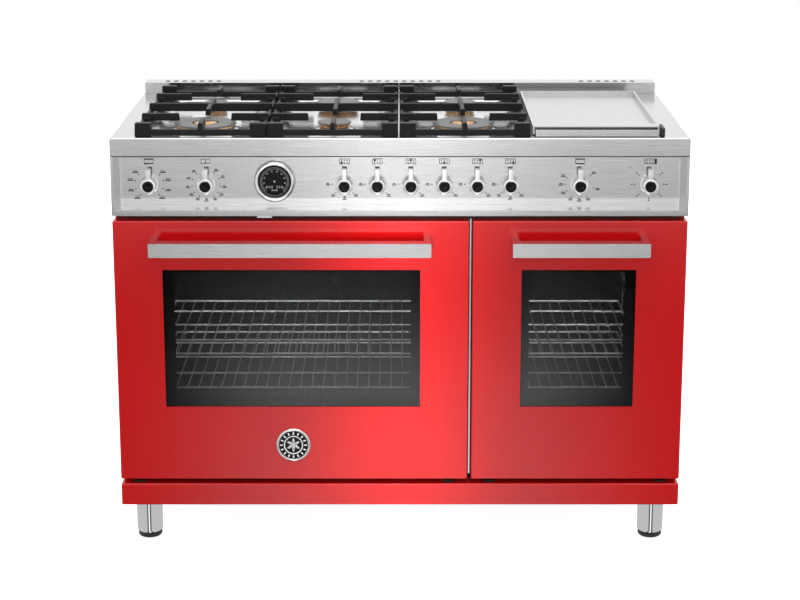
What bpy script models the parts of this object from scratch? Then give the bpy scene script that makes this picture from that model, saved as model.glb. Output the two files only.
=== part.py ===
"""Freestanding gas range: worktop with six burners and a griddle, ten knobs, and two ovens side by side.

Metres, +Z up. The origin is on the floor in the middle of the footprint, and the front faces -Y.
"""

import math

import bmesh
import bpy
from mathutils import Matrix, Vector

# Overall sizes
WIDTH = 1.214
BODY_DEPTH = 0.640
HANDLE_REACH = 0.070
WORKTOP_Z = 0.9126
BACKGUARD_HEIGHT = 0.025
BACKGUARD_DEPTH = 0.050
SHEET = 0.0015
GAP = 0.0003

FRONT = -(BODY_DEPTH + HANDLE_REACH) / 2 + HANDLE_REACH
BACK = FRONT + BODY_DEPTH
HALF = WIDTH / 2

# Levels of the front, from the floor up
KICK_BOTTOM, KICK_TOP = 0.100, 0.149
DOOR_BOTTOM, DOOR_TOP = 0.160, 0.735
FASCIA_BOTTOM, LEDGE_Z = 0.746, 0.759
WORKTOP_BAND = 0.038
FASCIA_TOP = WORKTOP_Z - WORKTOP_BAND - GAP

# Depths behind the front plane
FASCIA_RECESS = 0.055
DOOR_THICKNESS = 0.045
FRAME_Y = FRONT + DOOR_THICKNESS + 0.003
PANEL_Y = FRAME_Y + 0.0035
FASCIA_Y = FRONT + FASCIA_RECESS

# Doors: left and right edge, window edges, handle edges
MAIN_DOOR = dict(edges=(-HALF, 0.146), window=(-0.504, 0.043), handle=(-0.524, 0.065))
SMALL_DOOR = dict(edges=(0.154, HALF), window=(0.258, 0.501), handle=(0.235, 0.5215))
WINDOW_Z = (0.325, 0.629)
HANDLE_Z = (0.6725, 0.7020)
HANDLE_BAR_DEPTH = 0.028
HANDLE_POST = 0.015
GLASS = 0.004

# Oven cavities
CAVITY_Z = (0.215, 0.665)
CAVITY_BACK = 0.255
MAIN_CAVITY_X = (-0.545, 0.085)
SMALL_CAVITY_X = (0.228, 0.531)
RACK_LEVELS = (("lower", 0.347), ("upper", 0.424))
RACK_Y = (FRONT + 0.078, CAVITY_BACK - 0.015)
RACK_WIRE = 0.004
RACK_PITCH = 0.050

# Grates and burners: centres across, and distances behind the front edge
GRATE_X = (-0.418, -0.141, 0.136)
GRATE_WIDTH = 0.275
GRATE_FRONT, GRATE_BACK = 0.012, 0.527
GRATE_TOP = 0.030
GRATE_BAR = 0.012
BURNER_BACK = dict(front=0.135, rear=0.400)
BURNER_CAP_RADIUS = dict(
    left_front=0.0665, left_rear=0.026, centre_front=0.0365,
    centre_rear=0.048, right_front=0.0665, right_rear=0.0355,
)
DOUBLE_RING = 0.060  # caps wider than this are rings round a central brass burner

# Griddle
GRIDDLE_X = (0.279, 0.545)
GRIDDLE_BACK = 0.500
TRAY_BACK = 0.066

# Knobs: place across, all on one height
KNOB_Z = 0.803
KNOB_X = dict(
    oven_mode=-0.5325, thermostat=-0.412, left_front=-0.118, left_rear=-0.048,
    centre_rear=0.023, centre_front=0.094, right_rear=0.164, right_front=0.2345,
    small_oven=0.3816, griddle=0.5295,
)
KNOB_DEPTH = 0.030
SPINDLE_RADIUS = 0.004
SPINDLE_LENGTH = 0.028
DIAL_X, DIAL_Z, DIAL_RADIUS = -0.266, 0.811, 0.045

LEG_X, LEG_Y = 0.557, (FRONT + 0.080, BACK - 0.080)
LEG_RADIUS = 0.0285
BADGE_X, BADGE_Z, BADGE_RADIUS = -0.2306, 0.239, 0.037

for old in list(bpy.data.objects):
    bpy.data.objects.remove(old, do_unlink=True)

RANGE = bpy.data.collections.new("gas_range")
CUTTERS = bpy.data.collections.new("cutters")
for group in (RANGE, CUTTERS):
    bpy.context.scene.collection.children.link(group)


def finish(name, colour, roughness, metallic=0.0):
    made = bpy.data.materials.new(name)
    made.use_nodes = True
    shader = made.node_tree.nodes["Principled BSDF"]
    shader.inputs["Base Color"].default_value = (*colour, 1.0)
    shader.inputs["Roughness"].default_value = roughness
    shader.inputs["Metallic"].default_value = metallic
    return made


STEEL = finish("brushed_stainless", (0.62, 0.62, 0.63), 0.30, 1.0)
CHROME = finish("chrome", (0.80, 0.80, 0.80), 0.08, 1.0)
RED = finish("red_enamel", (0.62, 0.012, 0.012), 0.15)
BLACK_GLASS = finish("dark_glass", (0.010, 0.010, 0.011), 0.04)
IRON = finish("cast_iron", (0.015, 0.015, 0.015), 0.55, 0.3)
BRASS = finish("brass", (0.72, 0.48, 0.24), 0.30, 1.0)
CAP = finish("grey_enamel", (0.13, 0.13, 0.13), 0.50)
OVEN_ENAMEL = finish("oven_enamel", (0.020, 0.021, 0.024), 0.25)
BLACK = finish("black_plastic", (0.012, 0.012, 0.012), 0.40)
ZINC = finish("galvanised_steel", (0.50, 0.51, 0.52), 0.45, 1.0)


# ---- Making solids -------------------------------------------------------------------------------


def add_object(name, mesh, material, group=RANGE):
    obj = bpy.data.objects.new(name, mesh)
    obj.data.materials.append(material)
    group.objects.link(obj)
    if group is CUTTERS:
        obj.hide_render = True
        obj.display_type = "WIRE"
    return obj


def mesh_of(name, bm):
    mesh = bpy.data.meshes.new(name)
    bmesh.ops.recalc_face_normals(bm, faces=bm.faces[:])
    bm.to_mesh(mesh)
    bm.free()
    return mesh


def add_cube(bm, low, high):
    low, high = Vector(low), Vector(high)
    place = Matrix.Translation((low + high) / 2) @ Matrix.Diagonal((*(high - low), 1))
    bmesh.ops.create_cube(bm, size=1, matrix=place)


def block(name, low, high, material, group=RANGE):
    bm = bmesh.new()
    add_cube(bm, low, high)
    return add_object(name, mesh_of(name, bm), material, group)


def along_y(x, y, z):
    """A frame whose own +Z points out of the front, towards -Y, and whose own +Y points up."""
    turn = Matrix.Rotation(math.pi / 2, 4, "X")
    return Matrix.Translation((x, y, z)) @ turn


def turned(name, profile, material, place, segments=24, ring=False, group=RANGE):
    """A profile of (radius, height) points, run down its outer side, turned about its own Z axis."""
    points = [(radius, 0, height) for radius, height in profile]
    edges = [(i, i + 1) for i in range(len(points) - 1)]
    if ring:
        edges.append((len(points) - 1, 0))
    mesh = bpy.data.meshes.new(name)
    mesh.from_pydata(points, edges, [])
    obj = add_object(name, mesh, material, group)
    obj.matrix_world = place
    screw = obj.modifiers.new("turn", "SCREW")
    screw.steps = screw.render_steps = segments
    screw.use_merge_vertices = True
    screw.merge_threshold = 1e-5
    return obj


def round_cutter(name, radius, low, high, place, segments=20):
    profile = [(0, high), (radius, high), (radius, low), (0, low)]
    return turned(name, profile, BLACK, place, segments, group=CUTTERS)


def boolean(obj, other, operation):
    modifier = obj.modifiers.new(operation.lower(), "BOOLEAN")
    modifier.operation = operation
    modifier.object = other


def fused(name, pieces, material):
    """The union of overlapping closed pieces as one mesh; the pieces are used up."""
    first, others = pieces[0], pieces[1:]
    for other in others:
        boolean(first, other, "UNION")
    bpy.context.view_layer.update()
    graph = bpy.context.evaluated_depsgraph_get()
    mesh = bpy.data.meshes.new_from_object(first.evaluated_get(graph))
    mesh.transform(first.matrix_world)
    mesh.materials.clear()
    for piece in pieces:
        bpy.data.objects.remove(piece, do_unlink=True)
    mesh.shade_smooth()
    mesh.set_sharp_from_angle(angle=math.radians(35))
    mesh.name = name
    return add_object(name, mesh, material)


def fused_blocks(name, boxes, material):
    pieces = [block(f"{name}.{i}", low, high, material, CUTTERS) for i, (low, high) in enumerate(boxes)]
    return fused(name, pieces, material)


def sheet_metal(obj, thickness=SHEET, outward=-1):
    """Gives an open surface its gauge: outward -1 grows the wall against the normals, 1 along them."""
    wall = obj.modifiers.new("gauge", "SOLIDIFY")
    wall.thickness = thickness
    wall.offset = outward
    wall.use_even_offset = True
    return obj


def open_box(name, low, high, open_faces, material, thickness=SHEET):
    """A folded box with some faces left out, named by their outward direction such as '-z'."""
    bm = bmesh.new()
    add_cube(bm, low, high)
    axes = {"x": Vector((1, 0, 0)), "y": Vector((0, 1, 0)), "z": Vector((0, 0, 1))}
    outs = [axes[face[1]] * (1 if face[0] == "+" else -1) for face in open_faces]
    gone = [face for face in bm.faces if any(face.normal.dot(out) > 0.9 for out in outs)]
    bmesh.ops.delete(bm, geom=gone, context="FACES_ONLY")
    mesh = bpy.data.meshes.new(name)
    bm.to_mesh(mesh)
    bm.free()
    return sheet_metal(add_object(name, mesh, material), thickness)


def front_plane(bm, edges_x, edges_z, y):
    """One face in an XZ plane that looks to the front."""
    place = along_y((edges_x[0] + edges_x[1]) / 2, y, (edges_z[0] + edges_z[1]) / 2)
    scale = Matrix.Diagonal((edges_x[1] - edges_x[0], edges_z[1] - edges_z[0], 1, 1))
    bmesh.ops.create_grid(bm, x_segments=1, y_segments=1, size=0.5, matrix=place @ scale)
    return bm.faces[:][0]


def inset_rectangle(bm, face, edges_x, edges_z):
    """Insets a face of the front plane and sets the inner face to a given rectangle."""
    bmesh.ops.inset_individual(bm, faces=[face], thickness=0.001)
    middle = face.calc_center_median()
    for vert in face.verts:
        vert.co.x = edges_x[vert.co.x > middle.x]
        vert.co.z = edges_z[vert.co.z > middle.z]


def push_back(bm, face, depth, edges_x=None):
    """Extrudes a face of the front plane backwards, with its sides splayed to edges_x if given."""
    made = bmesh.ops.extrude_face_region(bm, geom=[face])["geom"]
    bmesh.ops.delete(bm, geom=[face], context="FACES_ONLY")
    verts = [item for item in made if isinstance(item, bmesh.types.BMVert)]
    middle = sum((vert.co.x for vert in verts)) / len(verts)
    for vert in verts:
        vert.co.y += depth
        if edges_x:
            vert.co.x = edges_x[vert.co.x > middle]


def fold_edges_back(bm, depth):
    """Folds a return backwards from the outer edges of a front plane, and not from a hole's edges."""
    limits = []
    for axis in (0, 2):
        places = [vert.co[axis] for vert in bm.verts]
        limits += [(axis, min(places)), (axis, max(places))]
    rim = [
        edge for edge in bm.edges
        if edge.is_boundary
        and any(all(abs(vert.co[axis] - limit) < 1e-6 for vert in edge.verts) for axis, limit in limits)
    ]
    made = bmesh.ops.extrude_edge_only(bm, edges=rim)["geom"]
    for item in made:
        if isinstance(item, bmesh.types.BMVert):
            item.co.y += depth


def sheet_object(name, bm, material, thickness=SHEET):
    """A front-facing sheet, its gauge behind its face."""
    mesh = bpy.data.meshes.new(name)
    bmesh.ops.recalc_face_normals(bm, faces=bm.faces[:])
    front = min(bm.faces, key=lambda face: face.calc_center_median().y)
    if front.normal.y > 0:
        bmesh.ops.reverse_faces(bm, faces=bm.faces[:])
    bm.to_mesh(mesh)
    bm.free()
    return sheet_metal(add_object(name, mesh, material), thickness)


# ---- Cabinet -------------------------------------------------------------------------------------


SIDE_FOLD = 0.009


def side_panel(name, side):
    """The outer skin of one side, with a fold along its front and its back."""
    outer = side * (HALF - 0.0005)
    inner = outer - side * SIDE_FOLD
    y_front, y_back = PANEL_Y, BACK - 0.0065
    bm = bmesh.new()
    plan = [(inner, y_front), (outer, y_front), (outer, y_back), (inner, y_back)]
    verts = [bm.verts.new((x, y, KICK_TOP + GAP)) for x, y in plan]
    edges = [bm.edges.new(pair) for pair in zip(verts, verts[1:])]
    made = bmesh.ops.extrude_edge_only(bm, edges=edges)["geom"]
    rise = FASCIA_TOP - GAP - KICK_TOP - GAP
    bmesh.ops.translate(bm, vec=(0, 0, rise), verts=[v for v in made if isinstance(v, bmesh.types.BMVert)])
    skin = max(bm.faces, key=lambda face: abs(face.calc_center_median().x))
    if skin.normal.x * side < 0:
        bmesh.ops.reverse_faces(bm, faces=bm.faces[:])
    mesh = bpy.data.meshes.new(name)
    bm.to_mesh(mesh)
    bm.free()
    sheet_metal(add_object(name, mesh, RED))


side_panel("left_side_panel", -1)
side_panel("right_side_panel", 1)

open_box(
    "base_pan", (-HALF + 0.002, FRAME_Y, KICK_BOTTOM + 0.001), (HALF - 0.002, BACK - 0.005, KICK_TOP - 0.001),
    ["+z"], ZINC,
)
open_box("kick_plate", (-HALF, FRONT, KICK_BOTTOM), (HALF, FRAME_Y - 0.001, KICK_TOP), ["+y"], RED)

back = block(
    "back_panel",
    (-HALF + 0.003, BACK - 0.0062, KICK_TOP + GAP),
    (HALF - 0.003, BACK - 0.0047, FASCIA_TOP - GAP),
    ZINC,
)
LOUVRE_WIDTH, LOUVRE_HEIGHT, LOUVRE_PITCH, LOUVRE_Z, LOUVRE_X = 0.16, 0.008, 0.030, 0.70, 0.30
bm = bmesh.new()
for column in (-LOUVRE_X, LOUVRE_X):
    for row in range(5):
        z = LOUVRE_Z + row * LOUVRE_PITCH
        add_cube(
            bm,
            (column - LOUVRE_WIDTH / 2, BACK - 0.02, z),
            (column + LOUVRE_WIDTH / 2, BACK + 0.01, z + LOUVRE_HEIGHT),
        )
louvres = add_object("louvre_cutter", mesh_of("louvre_cutter", bm), BLACK, CUTTERS)
boolean(back, louvres, "DIFFERENCE")


FASCIA_BORDER, RECESS_SPLAY = 0.006, 0.006


def control_fascia():
    """A frame with a splayed recess pushed back from it, folded back round its outer edge."""
    bm = bmesh.new()
    mouth, floor = HALF - FASCIA_BORDER, HALF - FASCIA_BORDER - RECESS_SPLAY
    face = front_plane(bm, (-HALF, HALF), (FASCIA_BOTTOM, FASCIA_TOP), FRONT)
    inset_rectangle(bm, face, (-mouth, mouth), (LEDGE_Z, FASCIA_TOP - 0.003))
    push_back(bm, face, FASCIA_RECESS, (-floor, floor))
    fold_edges_back(bm, FRAME_Y - FRONT - 0.001)
    return sheet_object("control_fascia", bm, STEEL)


fascia = control_fascia()
for knob, x in KNOB_X.items():
    hole = round_cutter(f"{knob}_hole", SPINDLE_RADIUS + 0.001, -0.01, 0.01, along_y(x, FASCIA_Y, KNOB_Z), 16)
    boolean(fascia, hole, "DIFFERENCE")


# ---- Worktop and backguard -----------------------------------------------------------------------

worktop = open_box(
    "worktop", (-HALF, FRONT, WORKTOP_Z - WORKTOP_BAND), (HALF, BACK, WORKTOP_Z), ["-z"], STEEL
)


def burner_places():
    for name, cap in BURNER_CAP_RADIUS.items():
        column, row = name.split("_")
        x = GRATE_X[("left", "centre", "right").index(column)]
        yield name, cap, Matrix.Translation((x, FRONT + BURNER_BACK[row], WORKTOP_Z))


def neck_radius(cap):
    return 0.62 * cap


for name, cap, place in burner_places():
    hole = round_cutter(f"{name}_burner_hole", neck_radius(cap) + 0.002, -0.01, 0.01, place)
    boolean(worktop, hole, "DIFFERENCE")
GRIDDLE_REST = 0.020  # the rim of worktop left under the griddle's edge
griddle_cut = block(
    "griddle_cut", (GRIDDLE_X[0] + GRIDDLE_REST, FRONT + TRAY_BACK + 0.024, WORKTOP_Z - 0.01),
    (GRIDDLE_X[1] - GRIDDLE_REST, FRONT + GRIDDLE_BACK - GRIDDLE_REST, WORKTOP_Z + 0.01), BLACK, CUTTERS,
)
boolean(worktop, griddle_cut, "DIFFERENCE")

backguard = open_box(
    "backguard", (-HALF + 0.003, BACK - BACKGUARD_DEPTH, WORKTOP_Z + GAP),
    (HALF - 0.003, BACK, WORKTOP_Z + BACKGUARD_HEIGHT), ["-z"], STEEL,
)
SLOT_SIZE, SLOT_PITCH = (0.010, 0.018), 0.0202
bm = bmesh.new()
for middle, count in ((-0.492, 7), (0.0, 10), (0.492, 7)):
    for i in range(count):
        x = middle + (i - (count - 1) / 2) * SLOT_PITCH
        y = BACK - BACKGUARD_DEPTH / 2
        add_cube(
            bm, (x - SLOT_SIZE[0] / 2, y - SLOT_SIZE[1] / 2, WORKTOP_Z + 0.015),
            (x + SLOT_SIZE[0] / 2, y + SLOT_SIZE[1] / 2, WORKTOP_Z + 0.035),
        )
vents = add_object("vent_cutter", mesh_of("vent_cutter", bm), BLACK, CUTTERS)
boolean(backguard, vents, "DIFFERENCE")


# ---- Burners and grates --------------------------------------------------------------------------

for name, cap, place in burner_places():
    neck = neck_radius(cap)
    skirt, crown = (0.060, 0.024) if cap > DOUBLE_RING else (0.84 * cap, neck)
    body = [
        (0, 0.0088), (crown, 0.0088), (crown + 0.001, 0.0058), (skirt, 0.0058), (skirt, 0.0005),
        (neck, 0.0005), (neck, -0.028), (0, -0.028),
    ]
    top = 0.0105 if cap > DOUBLE_RING else 0.0130
    rim = [(cap - 0.003, top), (cap, top - 0.0015), (cap, top - 0.0040)]
    if cap > DOUBLE_RING:
        flame_ring = [(0.029, top), *rim, (0.029, top - 0.0040)]
        turned(f"{name}_burner_cap", flame_ring, CAP, place, ring=True)
        body[0:2] = [(0, 0.0115), (0.021, 0.0115), (crown, 0.0095)]
    else:
        turned(f"{name}_burner_cap", [(0, top), *rim, (0, top - 0.0040)], CAP, place)
    turned(f"{name}_burner", body, BRASS, place)


def grate_boxes():
    """The bars of one double grate: across from its middle, back from the front edge, up from the worktop."""
    side, bar = GRATE_WIDTH / 2, GRATE_BAR
    front, back = GRATE_FRONT, GRATE_BACK
    middle = (BURNER_BACK["front"] + BURNER_BACK["rear"]) / 2
    low, rail_top, foot, finger_low = 0.003, 0.016, GAP, 0.0143
    yield (-side, front, low), (side, front + bar, rail_top)
    yield (-side, back - bar, low), (side, back, rail_top)
    yield (-side, middle - bar / 2, 0.012), (side, middle + bar / 2, GRATE_TOP)
    yield (-bar / 2, middle - 0.078, finger_low + 0.0004), (bar / 2, middle + 0.078, GRATE_TOP - 0.0005)
    yield (-bar / 2, front + 0.001, finger_low), (bar / 2, front + 0.072, GRATE_TOP - 0.001)
    yield (-bar / 2, back - 0.072, finger_low), (bar / 2, back - 0.001, GRATE_TOP - 0.001)
    for sign in (-1, 1):
        outer, inner = sign * side, sign * (side - bar + 0.001)
        xs = sorted((outer - sign * 0.0004, inner))
        yield (xs[0], front + 0.002, 0.0065), (xs[1], back - 0.002, 0.0185)
        yield (xs[0], middle - 0.010, foot), (xs[1], middle + 0.010, 0.014)
        xs = sorted((outer - sign * 0.0008, sign * (side - 0.035)))
        yield (xs[0], front - 0.0005, foot), (xs[1], front + 0.018, GRATE_TOP - 0.0004)
        yield (xs[0], back - 0.018, foot), (xs[1], back + 0.0005, GRATE_TOP - 0.0004)
        xs = sorted((outer - sign * 0.0002, sign * 0.055))
        for row in BURNER_BACK.values():
            yield (xs[0], row - bar / 2, 0.014), (xs[1], row + bar / 2, GRATE_TOP - 0.0002)


for column, x in zip(("left", "centre", "right"), GRATE_X):
    shift = Vector((x, FRONT, WORKTOP_Z))
    boxes = [(Vector(low) + shift, Vector(high) + shift) for low, high in grate_boxes()]
    fused_blocks(f"{column}_grate", boxes, IRON)


# ---- Griddle -------------------------------------------------------------------------------------


GRIDDLE_WALL = 0.004
GRIDDLE_FOOT, GRIDDLE_FACE, GRIDDLE_RIM = 0.0015, 0.008, 0.0195
LIP_FRONT, LIP_UNDER, LIP_TOP = 0.0325, 0.0168, 0.0187
TRAY_FRONT, TRAY_FOOT, TRAY_TOP = 0.012, 0.0012, 0.0150


def griddle_plate():
    """A thick plate with upstands all round; the front lip and the side cheeks reach over the tray."""
    left, right = GRIDDLE_X
    web = TRAY_BACK + 0.001
    back, wall = GRIDDLE_BACK, GRIDDLE_WALL
    boxes = [
        ((left + 0.0002, web, GRIDDLE_FOOT), (right - 0.0002, back, GRIDDLE_FACE)),
        (
            (left + 0.0002, back - wall, GRIDDLE_FOOT + 0.001),
            (right - 0.0002, back - 0.0002, GRIDDLE_RIM - 0.0002),
        ),
        (
            (left + 0.0002, web + 0.0005, GRIDDLE_FOOT + 0.0005),
            (right - 0.0002, web + wall, LIP_TOP - 0.0002),
        ),
        ((left + 0.0002, LIP_FRONT + 0.0002, LIP_UNDER), (right - 0.0002, web + 0.003, LIP_TOP)),
        ((left, LIP_FRONT, GRIDDLE_FOOT + 0.0004), (left + wall, back - 0.0004, GRIDDLE_RIM)),
        ((right - wall, LIP_FRONT, GRIDDLE_FOOT + 0.0004), (right, back - 0.0004, GRIDDLE_RIM)),
    ]
    shift = Vector((0, FRONT, WORKTOP_Z))
    fused_blocks("griddle_plate", [(Vector(low) + shift, Vector(high) + shift) for low, high in boxes], STEEL)


griddle_plate()
tray_inset = GRIDDLE_WALL + 0.001
open_box(
    "grease_tray", (GRIDDLE_X[0] + tray_inset, FRONT + TRAY_FRONT, WORKTOP_Z + TRAY_FOOT),
    (GRIDDLE_X[1] - tray_inset, FRONT + TRAY_BACK, WORKTOP_Z + TRAY_TOP), ["+z"], STEEL, 0.0012,
)


# ---- Knobs, dial and gas manifold ----------------------------------------------------------------

for knob, x in KNOB_X.items():
    place = along_y(x, FASCIA_Y, KNOB_Z)
    barrel = [
        (0, KNOB_DEPTH), (0.0152, KNOB_DEPTH), (0.0166, KNOB_DEPTH - 0.0014), (0.0166, 0.0045),
        (0.0195, 0.0040), (0.0195, 0.0005), (SPINDLE_RADIUS, 0.0005), (SPINDLE_RADIUS, -SPINDLE_LENGTH),
        (0, -SPINDLE_LENGTH),
    ]
    grip = turned(f"{knob}.barrel", barrel, CHROME, place, 16, group=CUTTERS)
    lever = block(
        f"{knob}.lever", (x - 0.0057, FASCIA_Y - KNOB_DEPTH + 0.0006, KNOB_Z + 0.005),
        (x + 0.0057, FASCIA_Y - 0.010, KNOB_Z + 0.0365), CHROME, CUTTERS,
    )
    fused(f"{knob}_knob", [grip, lever], CHROME)

dial_profile = [
    (0, 0.0100), (0.0350, 0.0100), (0.0358, 0.0145), (0.0400, 0.0165), (0.0445, 0.0120),
    (DIAL_RADIUS, 0.0090), (DIAL_RADIUS, 0.0005), (0, 0.0005),
]
turned("gauge_dial", dial_profile, CHROME, along_y(DIAL_X, FASCIA_Y, DIAL_Z), 36)

MANIFOLD_Y, MANIFOLD_RADIUS = FASCIA_Y + 0.052, 0.011
VALVE_HALF = 0.010
pipe_place = Matrix.Translation((0.205, MANIFOLD_Y, KNOB_Z)) @ Matrix.Rotation(math.pi / 2, 4, "Y")
pipe_half = 0.350
pipe_profile = [(0, pipe_half), (MANIFOLD_RADIUS, pipe_half), (MANIFOLD_RADIUS, -pipe_half), (0, -pipe_half)]
pipe = turned("manifold.pipe", pipe_profile, ZINC, pipe_place, 16, group=CUTTERS)
valves = [
    block(
        f"manifold.{knob}", (x - VALVE_HALF, FASCIA_Y + SPINDLE_LENGTH + 0.002, KNOB_Z - VALVE_HALF * 0.8),
        (x + VALVE_HALF, MANIFOLD_Y, KNOB_Z + VALVE_HALF * 0.8), ZINC, CUTTERS,
    )
    for knob, x in KNOB_X.items()
    if x > -0.15 and knob != "small_oven"
]
fused("gas_manifold", [pipe, *valves], ZINC)


# ---- Ovens ---------------------------------------------------------------------------------------


def oven_cavity(name, flange_x, cavity_x):
    """A pressed enamel box, its mouth in the front frame that the door closes on."""
    bm = bmesh.new()
    face = front_plane(bm, flange_x, (KICK_TOP + 0.003, FASCIA_BOTTOM - 0.0025), FRAME_Y)
    inset_rectangle(bm, face, cavity_x, CAVITY_Z)
    push_back(bm, face, CAVITY_BACK - FRAME_Y)
    sheet_object(name, bm, OVEN_ENAMEL)


oven_cavity("main_oven_cavity", (-HALF + 0.003, 0.1495), MAIN_CAVITY_X)
oven_cavity("small_oven_cavity", (0.1505, HALF - 0.003), SMALL_CAVITY_X)


def oven_rack(name, cavity_x, z):
    """A grid of fore-aft wires between a front and a back rail."""
    low, high = cavity_x[0] + 0.006, cavity_x[1] - 0.006
    gaps = round((high - low) / RACK_PITCH)
    pitch = (high - low - RACK_WIRE) / gaps
    bm = bmesh.new()
    bmesh.ops.create_grid(bm, x_segments=2 * gaps + 1, y_segments=3, size=0.5)
    for vert in bm.verts:
        column = round((vert.co.x + 0.5) * (2 * gaps + 1))
        row = round((vert.co.y + 0.5) * 3)
        vert.co.x = low + (column // 2) * pitch + (column % 2) * RACK_WIRE
        vert.co.y = (RACK_Y[0], RACK_Y[0] + RACK_WIRE, RACK_Y[1] - RACK_WIRE, RACK_Y[1])[row]
        vert.co.z = z
    middle = (RACK_Y[0] + RACK_Y[1]) / 2
    slots = [
        face for face in bm.faces
        if abs(face.calc_center_median().y - middle) < 0.01
        and max(v.co.x for v in face.verts) - min(v.co.x for v in face.verts) > 2 * RACK_WIRE
    ]
    bmesh.ops.delete(bm, geom=slots, context="FACES")
    mesh = bpy.data.meshes.new(name)
    bm.to_mesh(mesh)
    bm.free()
    sheet_metal(add_object(name, mesh, CHROME), RACK_WIRE)


for oven, cavity_x in (("main", MAIN_CAVITY_X), ("small", SMALL_CAVITY_X)):
    for level, z in RACK_LEVELS:
        oven_rack(f"{oven}_{level}_rack", cavity_x, z)


# ---- Doors ---------------------------------------------------------------------------------------


def window_sheet(name, edges_x, edges_z, hole_x, hole_z, y, fold, material):
    """A sheet with a rectangular opening, folded back (or forward, if fold is negative) at its edge."""
    bm = bmesh.new()
    face = front_plane(bm, edges_x, edges_z, y)
    inset_rectangle(bm, face, hole_x, hole_z)
    bmesh.ops.delete(bm, geom=[face], context="FACES")
    fold_edges_back(bm, fold)
    return sheet_object(name, bm, material)


GLASS_LAP = 0.012
LINER_LAP = (0.020, 0.015)  # how far the liner's opening is inside the window's, across and up
LINER_FOLD = 0.020


def door(name, edges, window, handle):
    sides = (DOOR_BOTTOM, DOOR_TOP)
    skin_back = FRONT + DOOR_THICKNESS - 0.001
    panel = window_sheet(f"{name}_panel", edges, sides, window, WINDOW_Z, FRONT, skin_back - FRONT, RED)
    round_off = panel.modifiers.new("soft edge", "BEVEL")
    round_off.width = 0.0012
    round_off.segments = 1
    round_off.limit_method = "ANGLE"

    lap = GLASS_LAP
    glass_y = FRONT + SHEET + GAP
    block(
        f"{name}_window", (window[0] - lap, glass_y, WINDOW_Z[0] - lap),
        (window[1] + lap, glass_y + GLASS, WINDOW_Z[1] + lap), BLACK_GLASS,
    )
    inner_x = (edges[0] + SHEET + 0.0008, edges[1] - SHEET - 0.0008)
    inner_z = (DOOR_BOTTOM + SHEET + 0.0008, DOOR_TOP - SHEET - 0.0008)
    hole_x = (window[0] + LINER_LAP[0], window[1] - LINER_LAP[0])
    hole_z = (WINDOW_Z[0] + LINER_LAP[1], WINDOW_Z[1] - LINER_LAP[1])
    liner_y = FRONT + DOOR_THICKNESS - SHEET
    window_sheet(f"{name}_liner", inner_x, inner_z, hole_x, hole_z, liner_y, -LINER_FOLD, OVEN_ENAMEL)

    front = FRONT - HANDLE_REACH
    boxes = [((handle[0], front, HANDLE_Z[0]), (handle[1], front + HANDLE_BAR_DEPTH, HANDLE_Z[1]))]
    for x in (handle[0], handle[1] - HANDLE_POST):
        post_low = (x + 0.0002, front + 0.004, HANDLE_Z[0] + 0.0002)
        post_high = (x + HANDLE_POST - 0.0002, FRONT - GAP, HANDLE_Z[1] - 0.0002)
        boxes.append((post_low, post_high))
    fused_blocks(f"{name}_handle", boxes, STEEL)


door("main_door", **MAIN_DOOR)
door("small_door", **SMALL_DOOR)

badge_profile = [
    (0, 0.0040), (0.0190, 0.0040), (0.0190, 0.0030), (0.0310, 0.0030), (0.0318, 0.0045), (0.0360, 0.0045),
    (BADGE_RADIUS, 0.0030), (BADGE_RADIUS, GAP), (0, GAP),
]
turned("badge", badge_profile, CHROME, along_y(BADGE_X, FRONT, BADGE_Z), 32)


# ---- Legs ----------------------------------------------------------------------------------------

LEG_WALL = 0.003
LEG_BOTTOM = 0.0130
for side, x in (("left", -LEG_X), ("right", LEG_X)):
    for end, y in zip(("front", "rear"), LEG_Y):
        place = Matrix.Translation((x, y, 0))
        inner, ceiling = LEG_RADIUS - LEG_WALL, KICK_BOTTOM + 0.001 - GAP
        tube = [
            (0, ceiling), (LEG_RADIUS, ceiling), (LEG_RADIUS, LEG_BOTTOM + 0.004),
            (LEG_RADIUS - 0.002, LEG_BOTTOM), (inner, LEG_BOTTOM), (inner, ceiling - 0.010),
            (0, ceiling - 0.010),
        ]
        turned(f"{side}_{end}_leg", tube, CHROME, place)
        foot = [
            (0, 0.060), (0.006, 0.060), (0.006, LEG_BOTTOM - 0.0005), (0.0265, LEG_BOTTOM - 0.0005),
            (0.0265, 0.006), (0.0235, 0.0015), (0.0215, 0), (0, 0),
        ]
        turned(f"{side}_{end}_foot", foot, BLACK, place)
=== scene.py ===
# A wide red kitchen range: six gas burners and a griddle over two ovens, on four round legs.
# The file follows the range as it is put together, from the studio and the cabinet to the knobs and
# the badge. Everything is in metres, with the doors facing -Y and the floor at z = 0.
import math

import bmesh
import bpy
from mathutils import Matrix, Vector


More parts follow.
